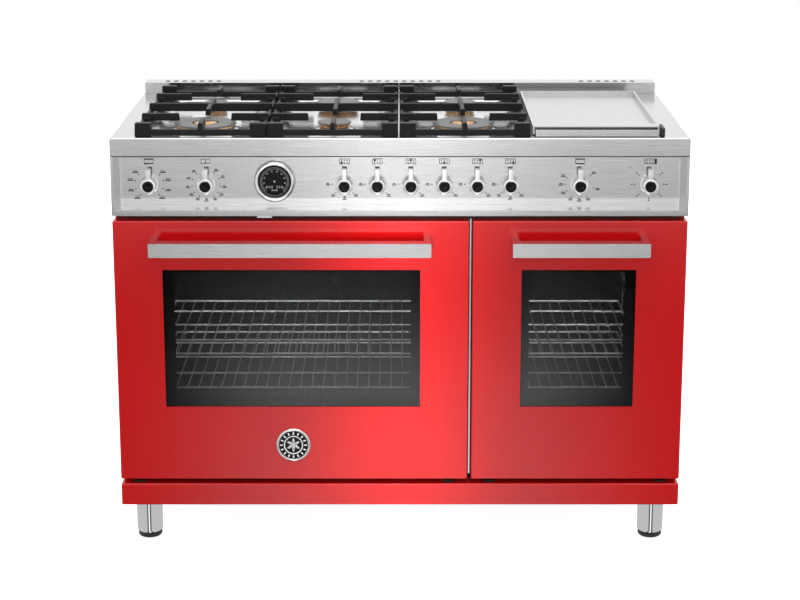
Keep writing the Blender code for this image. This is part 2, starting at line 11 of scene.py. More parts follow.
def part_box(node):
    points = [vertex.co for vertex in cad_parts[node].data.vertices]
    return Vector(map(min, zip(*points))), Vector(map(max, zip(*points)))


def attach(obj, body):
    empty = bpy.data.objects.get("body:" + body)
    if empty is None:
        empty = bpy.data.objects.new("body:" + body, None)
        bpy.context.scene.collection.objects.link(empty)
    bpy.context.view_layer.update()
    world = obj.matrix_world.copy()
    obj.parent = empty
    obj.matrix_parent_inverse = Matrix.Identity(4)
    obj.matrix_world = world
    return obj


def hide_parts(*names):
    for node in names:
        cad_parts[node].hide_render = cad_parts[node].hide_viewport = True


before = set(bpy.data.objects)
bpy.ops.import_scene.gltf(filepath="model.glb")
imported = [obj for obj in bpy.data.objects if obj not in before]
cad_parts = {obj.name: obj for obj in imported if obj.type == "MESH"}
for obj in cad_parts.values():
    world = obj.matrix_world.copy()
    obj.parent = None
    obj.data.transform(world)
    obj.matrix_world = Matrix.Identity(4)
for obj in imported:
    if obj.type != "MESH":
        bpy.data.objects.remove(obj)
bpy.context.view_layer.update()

# ---- Studio ----
# A white sweep of floor, a broad soft light overhead, and a tall narrow one in front that puts the
# bright band down the middle of the doors and the steel.


def linear(hex_colour):
    """sRGB hex, such as "b81818", to the linear numbers that a shader takes."""
    parts = [int(hex_colour[i:i + 2], 16) / 255 for i in (0, 2, 4)]
    return [c / 12.92 if c <= 0.04045 else ((c + 0.055) / 1.055) ** 2.4 for c in parts] + [1.0]


def add_node(tree, kind, links=(), into=None, **settings):
    """Adds a node and returns its first output, which also feeds the input socket given as into.

    links are (input, output socket). settings are properties, or inputs written in_Name.
    """
    made = tree.nodes.new(kind)
    for key, value in settings.items():
        if key.startswith("in_"):
            made.inputs[key[3:].replace("_", " ")].default_value = value
        else:
            setattr(made, key, value)
    for key, output in links:
        tree.links.new(output, made.inputs[key])
    if into:
        tree.links.new(made.outputs[0], into)
    return made.outputs[0]


def new_material(name, **settings):
    """A material with settings for its shader, each named for an input."""
    made = bpy.data.materials.new(name)
    made.use_nodes = True
    shader = made.node_tree.nodes["Principled BSDF"]
    for key, value in settings.items():
        shader.inputs[key.replace("_", " ")].default_value = value
    return made, made.node_tree, shader


scene = bpy.context.scene
scene.view_settings.view_transform = "Standard"

camera = bpy.data.objects.new("camera", bpy.data.cameras.new("camera"))
camera.location = (0, -4.379, 1.664)
camera.rotation_euler = (math.radians(90 - 13.9), 0, 0)
camera.data.lens = 89.66
camera.data.shift_y = -0.05
scene.collection.objects.link(camera)
scene.camera = camera

world = bpy.data.worlds.new("white_studio")
world.use_nodes = True
scene.world = world
sky = world.node_tree
backdrop = sky.nodes["Background"]
backdrop.inputs["Color"].default_value = (1, 1, 1, 1)

# The room, as steel and enamel mirror it: pale walls and ceiling with one bright stretch behind the
# camera, and a dark floor with a pale patch before the range. The camera itself sees white.
coords = sky.nodes.new("ShaderNodeTexCoord")
towards = sky.nodes.new("ShaderNodeSeparateXYZ")
sky.links.new(coords.outputs["Generated"], towards.inputs["Vector"])
aside = add_node(sky, "ShaderNodeMath", [(0, towards.outputs["X"])], operation="ABSOLUTE")
smooth = {"interpolation_type": "SMOOTHSTEP"}
in_front = add_node(
    sky, "ShaderNodeMapRange", [("Value", towards.outputs["Y"])],
    in_From_Min=-0.3, in_From_Max=0.0, in_To_Min=1.0, in_To_Max=0.0, **smooth,
)
bright_stretch = add_node(
    sky, "ShaderNodeMapRange", [("Value", aside)],
    in_From_Max=0.050, in_To_Min=3.1, in_To_Max=1.02, **smooth,
)
wall_glow = add_node(sky, "ShaderNodeMix", [("Factor", in_front), ("B", bright_stretch)], in_A=1.15)
height_glow = add_node(
    sky, "ShaderNodeMapRange", [("Value", towards.outputs["Z"])],
    in_From_Min=-0.1, in_From_Max=0.9, in_To_Min=0.88, in_To_Max=1.20, **smooth,
)
walls = add_node(sky, "ShaderNodeMath", [(0, wall_glow), (1, height_glow)], operation="MULTIPLY")
patch = add_node(
    sky, "ShaderNodeMapRange", [("Value", aside)],
    in_From_Min=0.045, in_From_Max=0.135, in_To_Min=1.5, in_To_Max=0.05, **smooth,
)
patch_fade = add_node(
    sky, "ShaderNodeMapRange", [("Value", towards.outputs["Z"])],
    in_From_Min=-0.325, in_From_Max=-0.245, in_To_Min=1.0, in_To_Max=0.10, **smooth,
)
faded_patch = add_node(sky, "ShaderNodeMath", [(0, patch), (1, patch_fade)], operation="MULTIPLY")
beside = add_node(
    sky, "ShaderNodeMapRange", [("Value", aside)], in_From_Min=0.20, in_From_Max=0.34, **smooth
)
near_floor = add_node(sky, "ShaderNodeMix", [("Factor", beside), ("A", faded_patch)], in_B=0.70)
above = add_node(
    sky, "ShaderNodeMapRange", [("Value", towards.outputs["Z"])],
    in_From_Min=-0.235, in_From_Max=-0.205, **smooth,
)
room = add_node(sky, "ShaderNodeMix", [("Factor", above), ("A", near_floor), ("B", walls)])
seen = sky.nodes.new("ShaderNodeLightPath")
add_node(
    sky, "ShaderNodeMix", [("Factor", seen.outputs["Is Camera Ray"]), ("A", room)],
    backdrop.inputs["Strength"], in_B=1.0,
)


def soft_light(name, place, aim, size, power, spread=180, glossy=True):
    lamp = bpy.data.lights.new(name, "AREA")
    lamp.shape = "RECTANGLE"
    lamp.size, lamp.size_y = size
    lamp.energy = power
    lamp.spread = math.radians(spread)
    made = bpy.data.objects.new(name, lamp)
    made.location = place
    made.rotation_euler = (Vector(aim) - Vector(place)).to_track_quat("-Z", "Y").to_euler()
    made.visible_camera = False
    made.visible_glossy = made.visible_transmission = glossy
    scene.collection.objects.link(made)
    return made


soft_light("overhead", (0, -0.4, 3.0), (0, 0, 0.8), (2.6, 1.8), 34)
soft_light("front_strip", (0.0, -1.14, 0.46), (0.0, 0, 0.46), (0.10, 0.90), 0.95, spread=34, glossy=False)

bm = bmesh.new()
bmesh.ops.create_grid(
    bm, x_segments=1, y_segments=1, size=0.5,
    matrix=Matrix.Translation((0, 2.2, 0)) @ Matrix.Diagonal((9, 5.9, 1, 1)),
)
floor_mesh = bpy.data.meshes.new("floor")
bm.to_mesh(floor_mesh)
bm.free()
floor = bpy.data.objects.new("floor", floor_mesh)
scene.collection.objects.link(floor)
floor.visible_diffuse = floor.visible_glossy = False
paper, tree, shader = new_material(
    "white_paper_sweep", Base_Color=linear("fcfcfc"), Roughness=0.9, Emission_Color=(1, 1, 1, 1),
    Emission_Strength=0.75,
)
floor.data.materials.append(paper)


# ---- Cabinet ----
# Side panels and kick plate of steel sheet, folded, and baked with a high-gloss red vitreous enamel.
# The base pan and the back are bare galvanised sheet, screwed on.


def object_noise(tree, scale, size=(1, 1, 1), detail=2.0):
    """Noise on Object coordinates; size stretches it, so (0.01, 1, 1) draws it out along X."""
    coords = tree.nodes.new("ShaderNodeTexCoord")
    drawn = add_node(tree, "ShaderNodeMapping", [("Vector", coords.outputs["Object"])], in_Scale=size)
    return add_node(tree, "ShaderNodeTexNoise", [("Vector", drawn)], in_Scale=scale, in_Detail=detail)


def relief(tree, shader, pattern, strength, depth):
    """Raises the surface where a pattern is high, and returns the pattern."""
    add_node(
        tree, "ShaderNodeBump", [("Height", pattern)], shader.inputs["Normal"],
        in_Strength=strength, in_Distance=depth,
    )
    return pattern


def mottle(tree, shader, pattern, dark, light, low=0.3, high=0.7):
    """Colours the surface from dark to light as a pattern goes from low to high."""
    share = add_node(tree, "ShaderNodeMapRange", [("Value", pattern)], in_From_Min=low, in_From_Max=high)
    mix = tree.nodes.new("ShaderNodeMix")
    mix.data_type = "RGBA"
    tree.links.new(share, mix.inputs["Factor"])
    mix.inputs[6].default_value, mix.inputs[7].default_value = linear(dark), linear(light)
    tree.links.new(mix.outputs[2], shader.inputs["Base Color"])


# Vitreous enamel, sprayed and fired: glassy, with the faint orange peel of fired glaze, 12 mm across.
enamel, tree, shader = new_material(
    "fired_red_enamel", Roughness=0.15, IOR=1.5, Coat_Weight=0.20, Coat_Roughness=0.06
)
mottle(tree, shader, object_noise(tree, 3), "ba0a0d", "c30d10")
relief(tree, shader, object_noise(tree, 80, detail=1.0), 0.06, 0.001)

# Galvanised sheet: a dull zinc skin with a spangle of crystals about 8 mm across.
zinc, tree, shader = new_material("galvanised_sheet", Metallic=1.0, Roughness=0.45)
coords = tree.nodes.new("ShaderNodeTexCoord")
crystals = add_node(
    tree, "ShaderNodeTexVoronoi", [("Vector", coords.outputs["Object"])], in_Scale=120.0
).node
spangle = add_node(tree, "ShaderNodeSeparateColor", [("Color", crystals.outputs["Color"])])
mottle(tree, shader, spangle, "8d9092", "a9acad", 0, 1)


def make_piece(name, bm, material, body, replaced=(), smooth_angle=35):
    """Turns a bmesh into a finished piece that rides on a body."""
    mesh = bpy.data.meshes.new(name)
    bm.to_mesh(mesh)
    bm.free()
    mesh.shade_smooth()
    mesh.set_sharp_from_angle(angle=math.radians(smooth_angle))
    made = bpy.data.objects.new(name, mesh)
    made.data.materials.append(material)
    scene.collection.objects.link(made)
    made.modifiers.new("level_faces", "WEIGHTED_NORMAL").keep_sharp = True
    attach(made, body)
    if replaced:
        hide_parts(*replaced)
    return made


def keep_node(name, material):
    """A CAD node whose shape is right keeps it, and takes this material."""
    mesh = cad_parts[name].data
    mesh.materials.clear()
    mesh.materials.append(material)


def middle_x(node):
    """The x of the middle of a CAD node."""
    low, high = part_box(node)
    return (low.x + high.x) / 2


def round_edges(bm, edges, radius, segments=2):
    bmesh.ops.bevel(
        bm, geom=list(edges), offset=radius, offset_type="OFFSET", affect="EDGES", segments=segments,
        profile=0.5, material=-1, clamp_overlap=True,
    )


def add_block(bm, low, high, edge=0.0, segments=2):
    """A box between two corners, its edges rounded to a radius."""
    low, high = Vector(low), Vector(high)
    place = Matrix.Translation((low + high) / 2) @ Matrix.Diagonal((*(high - low), 1))
    verts = bmesh.ops.create_cube(bm, size=1, matrix=place)["verts"]
    if edge:
        round_edges(bm, {e for v in verts for e in v.link_edges}, edge, segments)


def facing_front(x, y, z):
    """A frame whose +Z points out of the front of the range and whose +Y points up."""
    return Matrix.Translation((x, y, z)) @ Matrix.Rotation(math.pi / 2, 4, "X")


def facing_back(x, y, z):
    """A frame whose +Z points out of the back of the range."""
    return Matrix.Translation((x, y, z)) @ Matrix.Rotation(-math.pi / 2, 4, "X")


def add_turned(bm, profile, place, steps=48):
    """Spins a profile of (radius, height) about the local Z axis; it runs from the axis to the axis."""
    verts = [bm.verts.new((radius, 0, height)) for radius, height in profile]
    edges = [bm.edges.new(pair) for pair in zip(verts, verts[1:])]
    last = bmesh.ops.spin(
        bm, geom=verts + edges, cent=(0, 0, 0), axis=(0, 0, 1), angle=2 * math.pi, steps=steps,
        use_merge=True,
    )["geom_last"]
    ends = [item for item in verts + last if item.is_valid and isinstance(item, bmesh.types.BMVert)]
    turned = island_of(ends)
    bmesh.ops.remove_doubles(bm, verts=list(turned), dist=1e-6)
    turned = [v for v in turned if v.is_valid]
    bmesh.ops.recalc_face_normals(bm, faces=list({f for v in turned for f in v.link_faces}))
    bmesh.ops.transform(bm, matrix=place, verts=turned)


def island_of(seeds):
    """Every vertex joined to the seeds."""
    found, queue = set(seeds), list(seeds)
    while queue:
        for edge in queue.pop().link_edges:
            for vert in edge.verts:
                if vert not in found:
                    found.add(vert)
                    queue.append(vert)
    return found


def add_bar(bm, place, width, length, height):
    """A plain bar, its middle and its directions given by a frame."""
    bmesh.ops.create_cube(bm, size=1, matrix=place @ Matrix.Diagonal((width, length, height, 1)))


SCREW_RADIUS = 0.0045


def add_screw(bm, place):
    """A pan-head screw with a cross slot, its head out along local +Z."""
    head = [(0, 0.0022), (0.0018, 0.0022), (SCREW_RADIUS * 0.8, 0.0016), (SCREW_RADIUS, 0.0), (0, 0.0)]
    add_turned(bm, head, place, 16)
    for turn in (0, math.pi / 2):
        slot = place @ Matrix.Rotation(turn, 4, "Z") @ Matrix.Translation((0, 0, 0.00225))
        add_bar(bm, slot, 0.005, 0.0009, 0.0004)


for side in ("left", "right"):
    keep_node(f"{side}_side_panel", enamel)
for name in ("back_panel", "base_pan", "gas_manifold"):
    keep_node(name, zinc)

low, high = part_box("kick_plate")
bm = bmesh.new()
add_block(bm, low, high, 0.003, 3)
make_piece("kick_plate_skin", bm, enamel, "range_body", ["kick_plate"])

# Chrome plate: a mirror, slightly softened by polishing marks.
chrome, tree, shader = new_material("polished_chrome", Base_Color=linear("dcdcdd"), Metallic=1.0)
add_node(
    tree, "ShaderNodeMapRange", [("Value", object_noise(tree, 60))], shader.inputs["Roughness"],
    in_To_Min=0.05, in_To_Max=0.12,
)

# ---- Legs ----
# Chromed steel tubes screwed up under the base pan, each with a black plastic levelling foot.

# Moulded nylon: satin black, finely eroded texture.
nylon, tree, shader = new_material("moulded_black_nylon", Base_Color=linear("161616"), Roughness=0.42)
relief(tree, shader, object_noise(tree, 900), 0.15, 0.0004)

for side in ("left", "right"):
    for end in ("front", "rear"):
        low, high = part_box(f"{side}_{end}_leg")
        middle, radius = (low + high) / 2, (high.x - low.x) / 2
        here = Matrix.Translation((middle.x, middle.y, 0))
        bm = bmesh.new()
        tube = [
            (0, high.z), (radius - 0.001, high.z), (radius, high.z - 0.001), (radius, low.z + 0.006),
            (radius - 0.0006, low.z + 0.0035), (radius - 0.0022, low.z + 0.0008), (radius - 0.003, low.z),
            (radius - 0.006, low.z), (radius - 0.006, high.z - 0.010), (0, high.z - 0.010),
        ]
        add_turned(bm, tube, here, 64)
        make_piece(f"{side}_{end}_leg_tube", bm, chrome, "range_body", [f"{side}_{end}_leg"])
        low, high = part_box(f"{side}_{end}_foot")
        sole, stem, pad_top = (high.x - low.x) / 2, 0.006, 0.0122
        bm = bmesh.new()
        foot = [
            (0, high.z), (stem, high.z), (stem, pad_top), (sole - 0.001, pad_top),
            (sole, pad_top - 0.001), (sole, 0.0062), (sole - 0.0010, 0.0040), (sole - 0.0030, 0.0018),
            (sole - 0.0055, 0.0004), (sole - 0.0075, 0), (0, 0),
        ]
        add_turned(bm, foot, here, 64)
        body = f"{side}_{end}_foot"
        make_piece(f"{body}_pad", bm, nylon, body, [body])


# ---- Worktop ----
# One stainless sheet, pressed: a plain rim, and under each grate a shallow well with a raised seat round
# each burner; the wells take a paler copy of the steel, a painted reflection. Its front edge turns down in
# a 38 mm band.


def brushed_steel(name, light, dark, roughness, grain=(0.012, 1, 1)):
    """Stainless sheet, belt-brushed; the scratches are drawn 1 mm apart, coarser than real, to show."""
    made, tree, shader = new_material(name, Metallic=1.0)
    scratches = object_noise(tree, 1000, grain, 3.0)
    mottle(tree, shader, scratches, dark, light)
    clouds = object_noise(tree, 4)
    clouded = add_node(tree, "ShaderNodeMix", [("A", scratches), ("B", clouds)], in_Factor=0.35)
    add_node(
        tree, "ShaderNodeMapRange", [("Value", clouded)], shader.inputs["Roughness"],
        in_To_Min=roughness - 0.05, in_To_Max=roughness + 0.05,
    )
    relief(tree, shader, scratches, 0.09, 0.0005)
    return made


steel = brushed_steel("brushed_stainless", "d2d2d3", "bcbcbd", 0.15)
# A paler copy of the same brushed steel: a painted reflection in the worktop's wells, and a painted
# highlight on the door catch.
sheen_painted_steel = brushed_steel("stainless_painted_sheen", "e4e4e5", "d6d6d7", 0.16)

low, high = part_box("worktop")
TOP = high.z
FRONT = low.y
GRATES = ("left", "centre", "right")
grate_middles = [middle_x(f"{name}_grate") for name in GRATES]
BURNERS = [f"{column}_{row}" for column in GRATES for row in ("front", "rear")]
burner_spots = {}
for name in BURNERS:
    b_low, b_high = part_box(f"{name}_burner")
    cap_low, cap_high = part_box(f"{name}_burner_cap")
    burner_spots[name] = ((b_low + b_high) / 2, (cap_high.x - cap_low.x) / 2, (b_high.x - b_low.x) / 2)

WELL_HALF_X, WELL_Y = 0.106, (FRONT + 0.030, FRONT + 0.508)
WELL_DEPTH, WELL_SLOPE, WELL_CORNER = 0.0060, 0.016, 0.030
SEAT_SLOPE = 0.014


def ease(t):
    t = min(max(t, 0.0), 1.0)
    return t * t * (3 - 2 * t)


def well_drop(x, y):
    """How far the pressed sheet lies below the rim at a point."""
    drop = 0.0
    for middle in grate_middles:
        half_y = (WELL_Y[1] - WELL_Y[0]) / 2
        dx = abs(x - middle) - (WELL_HALF_X - WELL_CORNER)
        dy = abs(y - (WELL_Y[0] + half_y)) - (half_y - WELL_CORNER)
        outside = math.hypot(max(dx, 0), max(dy, 0)) + min(max(dx, dy), 0) - WELL_CORNER
        drop = max(drop, WELL_DEPTH * ease(-outside / WELL_SLOPE))
    for spot, cap, skirt in burner_spots.values():
        away = math.hypot(x - spot.x, y - spot.y) - skirt - 0.004
        drop = min(drop, WELL_DEPTH * ease(away / SEAT_SLOPE))
    return drop


EDGE_RADIUS = 0.0035
GRID_STEP = 0.0042
bm = bmesh.new()
inner_low = Vector((low.x + EDGE_RADIUS, low.y + EDGE_RADIUS, 0))
inner_high = Vector((high.x - EDGE_RADIUS, high.y - EDGE_RADIUS, 0))
span = inner_high - inner_low
place = Matrix.Translation((inner_low + inner_high) / 2 + Vector((0, 0, TOP)))
bmesh.ops.create_grid(
    bm, x_segments=round(span.x / GRID_STEP), y_segments=round(span.y / GRID_STEP), size=0.5,
    matrix=place @ Matrix.Diagonal((span.x, span.y, 1, 1)),
)
griddle_low, griddle_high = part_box("griddle_plate")
cut_margin = 0.025
under_griddle = [
    face for face in bm.faces
    if griddle_low.x + cut_margin < face.calc_center_median().x < griddle_high.x - cut_margin
    and griddle_low.y + 0.07 < face.calc_center_median().y < griddle_high.y - cut_margin
]
rim_edges = [edge for edge in bm.edges if edge.is_boundary]
for vert in bm.verts:
    vert.co.z -= well_drop(vert.co.x, vert.co.y)


def fold_down(bm, edges, middle, half, steps, radius, drop, flange=0.008):
    """Rolls the rim of a sheet over a radius and down, then turns a short flange inwards."""
    turns = [math.pi / 2 * i / steps for i in range(steps + 1)]
    moves = [
        (radius * (math.sin(b) - math.sin(a)), radius * (math.cos(a) - math.cos(b)))
        for a, b in zip(turns, turns[1:])
    ]
    for out, down in moves + [(0, drop - radius), (-flange, 0)]:
        made = bmesh.ops.extrude_edge_only(bm, edges=edges)["geom"]
        for vert in (item for item in made if isinstance(item, bmesh.types.BMVert)):
            away = vert.co - middle
            for axis in (0, 1):
                if abs(abs(away[axis]) - half[axis]) < 1e-5:
                    vert.co[axis] += math.copysign(out, away[axis] * out)
            vert.co.z -= down
        half = half + Vector((out, out, 0))
        edges = [item for item in made if isinstance(item, bmesh.types.BMEdge) and item.is_boundary]


fold_down(bm, rim_edges, (inner_low + inner_high) / 2, span / 2, 4, EDGE_RADIUS, TOP - low.z)
bmesh.ops.delete(bm, geom=under_griddle, context="FACES")
bmesh.ops.recalc_face_normals(bm, faces=bm.faces[:])
bmesh.ops.solidify(bm, geom=bm.faces[:], thickness=0.0012)
bmesh.ops.recalc_face_normals(bm, faces=bm.faces[:])
worktop = make_piece("worktop_sheet", bm, steel, "range_body", ["worktop"], 50)
# The well floors take the paler steel, a painted reflection.
worktop.data.materials.append(sheen_painted_steel)
for face in worktop.data.polygons:
    x, y, z = face.center
    face.material_index = int(well_drop(x, y) > 0.0015 and z > TOP - 0.01)

# ---- Backguard ----
# A low folded stainless upstand along the back, with slots in its top that let the ovens breathe.
keep_node("backguard", steel)

# Matt black steel; the griddle's burner box and the door hinges are of it. Here it makes a liner inside the
# backguard with a block just under each slot: painted shade that makes its slots look dark.
black_steel_and_shade, tree, shader = new_material("matt_black_steel_and_painted_shade", Roughness=0.85)
mottle(tree, shader, object_noise(tree, 40), "060606", "0d0d0d")
low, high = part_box("backguard")
bm = bmesh.new()
inset = Vector((0.004, 0.004, 0.001))
add_block(bm, low + inset, high - inset - Vector((0, 0, 0.004)), 0.001)
SLOT_PITCH, SLOT_GROUPS = 0.0202, ((-0.492, 7), (0.0, 10), (0.492, 7))
for middle, count in SLOT_GROUPS:
    for i in range(count):
        x, y = middle + (i - (count - 1) / 2) * SLOT_PITCH, (low.y + high.y) / 2
        add_block(bm, (x - 0.0049, y - 0.0089, high.z - 0.0060), (x + 0.0049, y + 0.0089, high.z - 0.0002))
make_piece("flue_liner_painted_slot_shade", bm, black_steel_and_shade, "range_body")

# ---- Control fascia ----
# A brushed stainless panel set back under the worktop's edge, and a ledge below it that mirrors the knobs,
# its upward faces paler as a painted highlight. The printed marks are fired black ink.

black_ink, tree, shader = new_material("fired_black_ink", Base_Color=linear("1c1c1c"), Roughness=0.55)
relief(tree, shader, object_noise(tree, 2000), 0.1, 0.0001)


def copied_node(name, edge):
    """A merged copy of a CAD node's mesh, its flat faces joined and its sharp edges eased."""
    bm = bmesh.new()
    bm.from_mesh(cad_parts[name].data)
    bmesh.ops.remove_doubles(bm, verts=bm.verts[:], dist=1e-6)
    bmesh.ops.dissolve_limit(bm, angle_limit=math.radians(1), verts=bm.verts[:], edges=bm.edges[:])
    sharp = [e for e in bm.edges if e.is_manifold and e.calc_face_angle() > math.radians(30)]
    round_edges(bm, sharp, edge)
    return bm


fascia_steel = brushed_steel("brushed_fascia_stainless", "dadadb", "c8c8c9", 0.15)
low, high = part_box("control_fascia")
LEDGE_TOP = 0.759
FASCIA_Y = FRONT + 0.055
bm = copied_node("control_fascia", 0.0004)
fascia = make_piece("control_fascia_sheet", bm, fascia_steel, "range_body", ["control_fascia"])
# The ledge's upward faces take a paler copy of the brushed steel: a painted highlight of the light from
# above.
ledge_highlight_steel = brushed_steel("ledge_stainless_painted_highlight", "f6f6f6", "eeeeef", 0.18)
fascia.data.materials.append(ledge_highlight_steel)
for face in fascia.data.polygons:
    if face.normal.z > 0.9 and abs(face.center.z - LEDGE_TOP) < 0.003:
        face.material_index = 1

# A thin black strip under the worktop's band: painted shade for the dark line beneath it.
bm = bmesh.new()
band_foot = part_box("worktop")[0].z
add_block(
    bm, (low.x + 0.002, FRONT - 0.0002, band_foot - 0.0022),
    (high.x - 0.002, FRONT + 0.0030, band_foot - 0.0002), 0.0003, 1,
)
make_piece("band_painted_shadow_strip", bm, nylon, "range_body")

KNOB_NAMES = ("oven_mode", "thermostat", *BURNERS, "small_oven", "griddle")
KNOBS = {name: middle_x(f"{name}_knob") for name in KNOB_NAMES}
KNOB_Z = 0.803
INK = 0.00025


def add_print(bm, x, z, width, height, turn=0.0):
    """A small printed bar on the fascia, turned about its middle."""
    place = facing_front(x, FASCIA_Y - INK / 2, z) @ Matrix.Rotation(turn, 4, "Z")
    add_bar(bm, place, width, height, INK)


def add_dot(bm, x, z, radius):
    bmesh.ops.create_cone(
        bm, cap_ends=True, segments=12, radius1=radius, radius2=radius, depth=INK,
        matrix=facing_front(x, FASCIA_Y - INK / 2, z),
    )


def add_scale(bm, x, angles, legend, radius=0.0305):
    """Dots round a knob, each with a short bar outside it where a legend would be."""
    for angle in angles:
        turn = math.radians(angle)
        across, up = math.sin(turn), math.cos(turn)
        add_dot(bm, x + radius * across, KNOB_Z + radius * up, 0.0014)
        reach = radius + 0.0045 + legend / 2 * abs(across)
        for line in (-1, 1) if legend > 0.006 else (0,):
            length = legend * (1.0 if line < 1 else 0.7)
            add_print(bm, x + reach * across, KNOB_Z + reach * up + line * 0.0015, length, 0.0019)


def add_hob_icon(bm, x, z, lit):
    """Six rings in a frame, as the burners lie on the hob, with one of them filled."""
    width, height = 0.021, 0.0110
    for side in (-1, 1):
        add_print(bm, x, z + side * height / 2, width, 0.0011)
        add_print(bm, x + side * width / 2, z, 0.0011, height)
    for i, column in enumerate(GRATES):
        for j, row in enumerate(("front", "rear")):
            big = 0.0026 if f"{column}_{row}" == lit else 0.0014
            add_dot(bm, x + (i - 1) * 0.0058, z + (j - 0.5) * 0.0052, big)


def add_box_icon(bm, x, z, bars):
    """An oven cavity with heating bars at its top and bottom."""
    width, height = 0.0200, 0.0100
    thick = 0.0026 if bars else 0.0011
    for side in (-1, 1):
        add_print(bm, x, z + side * height / 2, width, thick)
        add_print(bm, x + side * (width / 2 - 0.0004), z, 0.0008, height)
    if not bars:
        add_print(bm, x, z + 0.001, 0.0012, 0.006)
        add_dot(bm, x, z - 0.003, 0.0013)


ICON_Z = 0.8525
bm = bmesh.new()
add_scale(bm, KNOBS["oven_mode"], (-138, -108, -76, -47, 47, 76, 108, 138), 0.013)
add_scale(bm, KNOBS["thermostat"], (-150, -125, -98, -70, -42, 35, 65, 98, 125, 150, 180), 0.009)
add_scale(bm, KNOBS["small_oven"], (-118, -90, -62, 50, 105, 150, 180, -150), 0.010)
add_scale(bm, KNOBS["griddle"], (-135, -90, -48, 48, 90, 135, 180), 0.004)
for name in BURNERS:
    marks = (-90, -135, 180, 135) if name in ("left_front", "right_front") else (-90, 135)
    add_scale(bm, KNOBS[name], marks, 0.0090, 0.0265)
    add_hob_icon(bm, KNOBS[name], ICON_Z, name)
add_hob_icon(bm, KNOBS["griddle"], ICON_Z, None)
add_print(bm, KNOBS["griddle"] + 0.0125, ICON_Z, 0.0050, 0.0115)
add_box_icon(bm, KNOBS["oven_mode"], ICON_Z, True)
add_box_icon(bm, KNOBS["thermostat"], ICON_Z, False)
add_box_icon(bm, KNOBS["small_oven"], ICON_Z, True)
make_piece("fascia_print", bm, black_ink, "range_body")

LAMP_X, LAMP_Z = 0.487, 0.838
bm = bmesh.new()
lamp_profile = [(0, 0.0030), (0.0015, 0.0027), (0.0024, 0.0015), (0.0030, 0.0008), (0.0030, 0), (0, 0)]
add_turned(bm, lamp_profile, facing_front(LAMP_X, FASCIA_Y, LAMP_Z), 24)
make_piece("indicator_lamp", bm, chrome, "range_body")

# ---- Knobs ----
# Cast zinc, chromed: a round barrel on a skirt, with a flat lever standing up from it and a gloss
# black insert in its face.

# Satin chrome: the knobs are plated over a blasted casting, so their mirror is a little veiled.
knob_chrome, tree, shader = new_material(
    "satin_chrome", Base_Color=linear("ececec"), Metallic=1.0, Roughness=0.16
)
relief(tree, shader, object_noise(tree, 1500), 0.04, 0.0002)

# Moulded acrylic: deep black, under a surface only faintly uneven.
gloss_black, tree, shader = new_material(
    "moulded_gloss_black", Base_Color=linear("050505"), Roughness=0.16, Specular_IOR_Level=0.2
)
relief(tree, shader, object_noise(tree, 300), 0.02, 0.0003)

for name, x in KNOBS.items():
    low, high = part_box(f"{name}_knob")
    here = facing_front(x, FASCIA_Y, KNOB_Z)
    depth = FASCIA_Y - low.y
    rim, skirt = 0.0166, 0.0195
    bm = bmesh.new()
    barrel = [
        (0, depth - 0.0016), (0.0116, depth - 0.0016), (0.0120, depth - 0.0002), (0.0126, depth),
        (rim - 0.0016, depth), (rim - 0.0005, depth - 0.0005), (rim, depth - 0.0018), (rim, 0.0075),
        (rim + 0.0006, 0.0055), (skirt - 0.0006, 0.0045), (skirt, 0.0038), (skirt, 0.0006), (0.004, 0.0005),
        (0.004, FASCIA_Y - high.y), (0, FASCIA_Y - high.y),
    ]
    add_turned(bm, barrel, here, 56)
    lever_half, lever_foot = 0.0056, KNOB_Z + 0.010
    add_block(
        bm, (x - lever_half, low.y + 0.0008, lever_foot), (x + lever_half, low.y + 0.0175, high.z),
        0.0014, 3,
    )
    body = f"{name}_knob"
    make_piece(f"{name}_knob_casting", bm, knob_chrome, body, [body])
    bm = bmesh.new()
    insert = [
        (0, depth - 0.0003), (0.0060, depth - 0.0004), (0.0100, depth - 0.0001), (0.0112, depth - 0.0004),
        (0.0115, depth - 0.0012), (0.0115, depth - 0.0022), (0, depth - 0.0022),
    ]
    add_turned(bm, insert, here, 48)
    make_piece(f"{name}_knob_insert", bm, gloss_black, body)

# ---- Gauge dial ----
# A turned chrome bezel round a dark face with ticks, a short row of display segments and a white hub.
low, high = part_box("gauge_dial")
DIAL_X, DIAL_Z = (low.x + high.x) / 2, (low.z + high.z) / 2
DIAL_R = (high.x - low.x) / 2
dial_place = facing_front(DIAL_X, FASCIA_Y, DIAL_Z)
bm = bmesh.new()
bezel = [
    (0, 0.0095), (0.0338, 0.0095), (0.0345, 0.0100), (0.0350, 0.0130), (0.0362, 0.0150), (0.0385, 0.0163),
    (0.0405, 0.0160), (0.0430, 0.0135), (0.0443, 0.0120), (DIAL_R - 0.0002, 0.0095), (DIAL_R, 0.0070),
    (DIAL_R, 0.0005), (0, 0.0005),
]
add_turned(bm, bezel, dial_place, 96)
make_piece("dial_bezel", bm, knob_chrome, "range_body", ["gauge_dial"])
bm = bmesh.new()
disc = [(0, 0.0104), (0.0336, 0.0104), (0.0342, 0.0098), (0.0342, 0.0092), (0, 0.0092)]
add_turned(bm, disc, dial_place, 96)
make_piece("dial_face", bm, gloss_black, "range_body")

pale_print, tree, shader = new_material("pale_grey_print", Base_Color=linear("b9b9b9"), Roughness=0.5)
relief(tree, shader, object_noise(tree, 2000), 0.1, 0.0001)

DIAL_INK, DIAL_FACE = 0.0003, 0.0106


def add_dial_mark(bm, radius, angle, width, length):
    turn = Matrix.Rotation(-math.radians(angle), 4, "Z")
    place = dial_place @ turn @ Matrix.Translation((0, radius, DIAL_FACE))
    add_bar(bm, place, width, length, DIAL_INK)


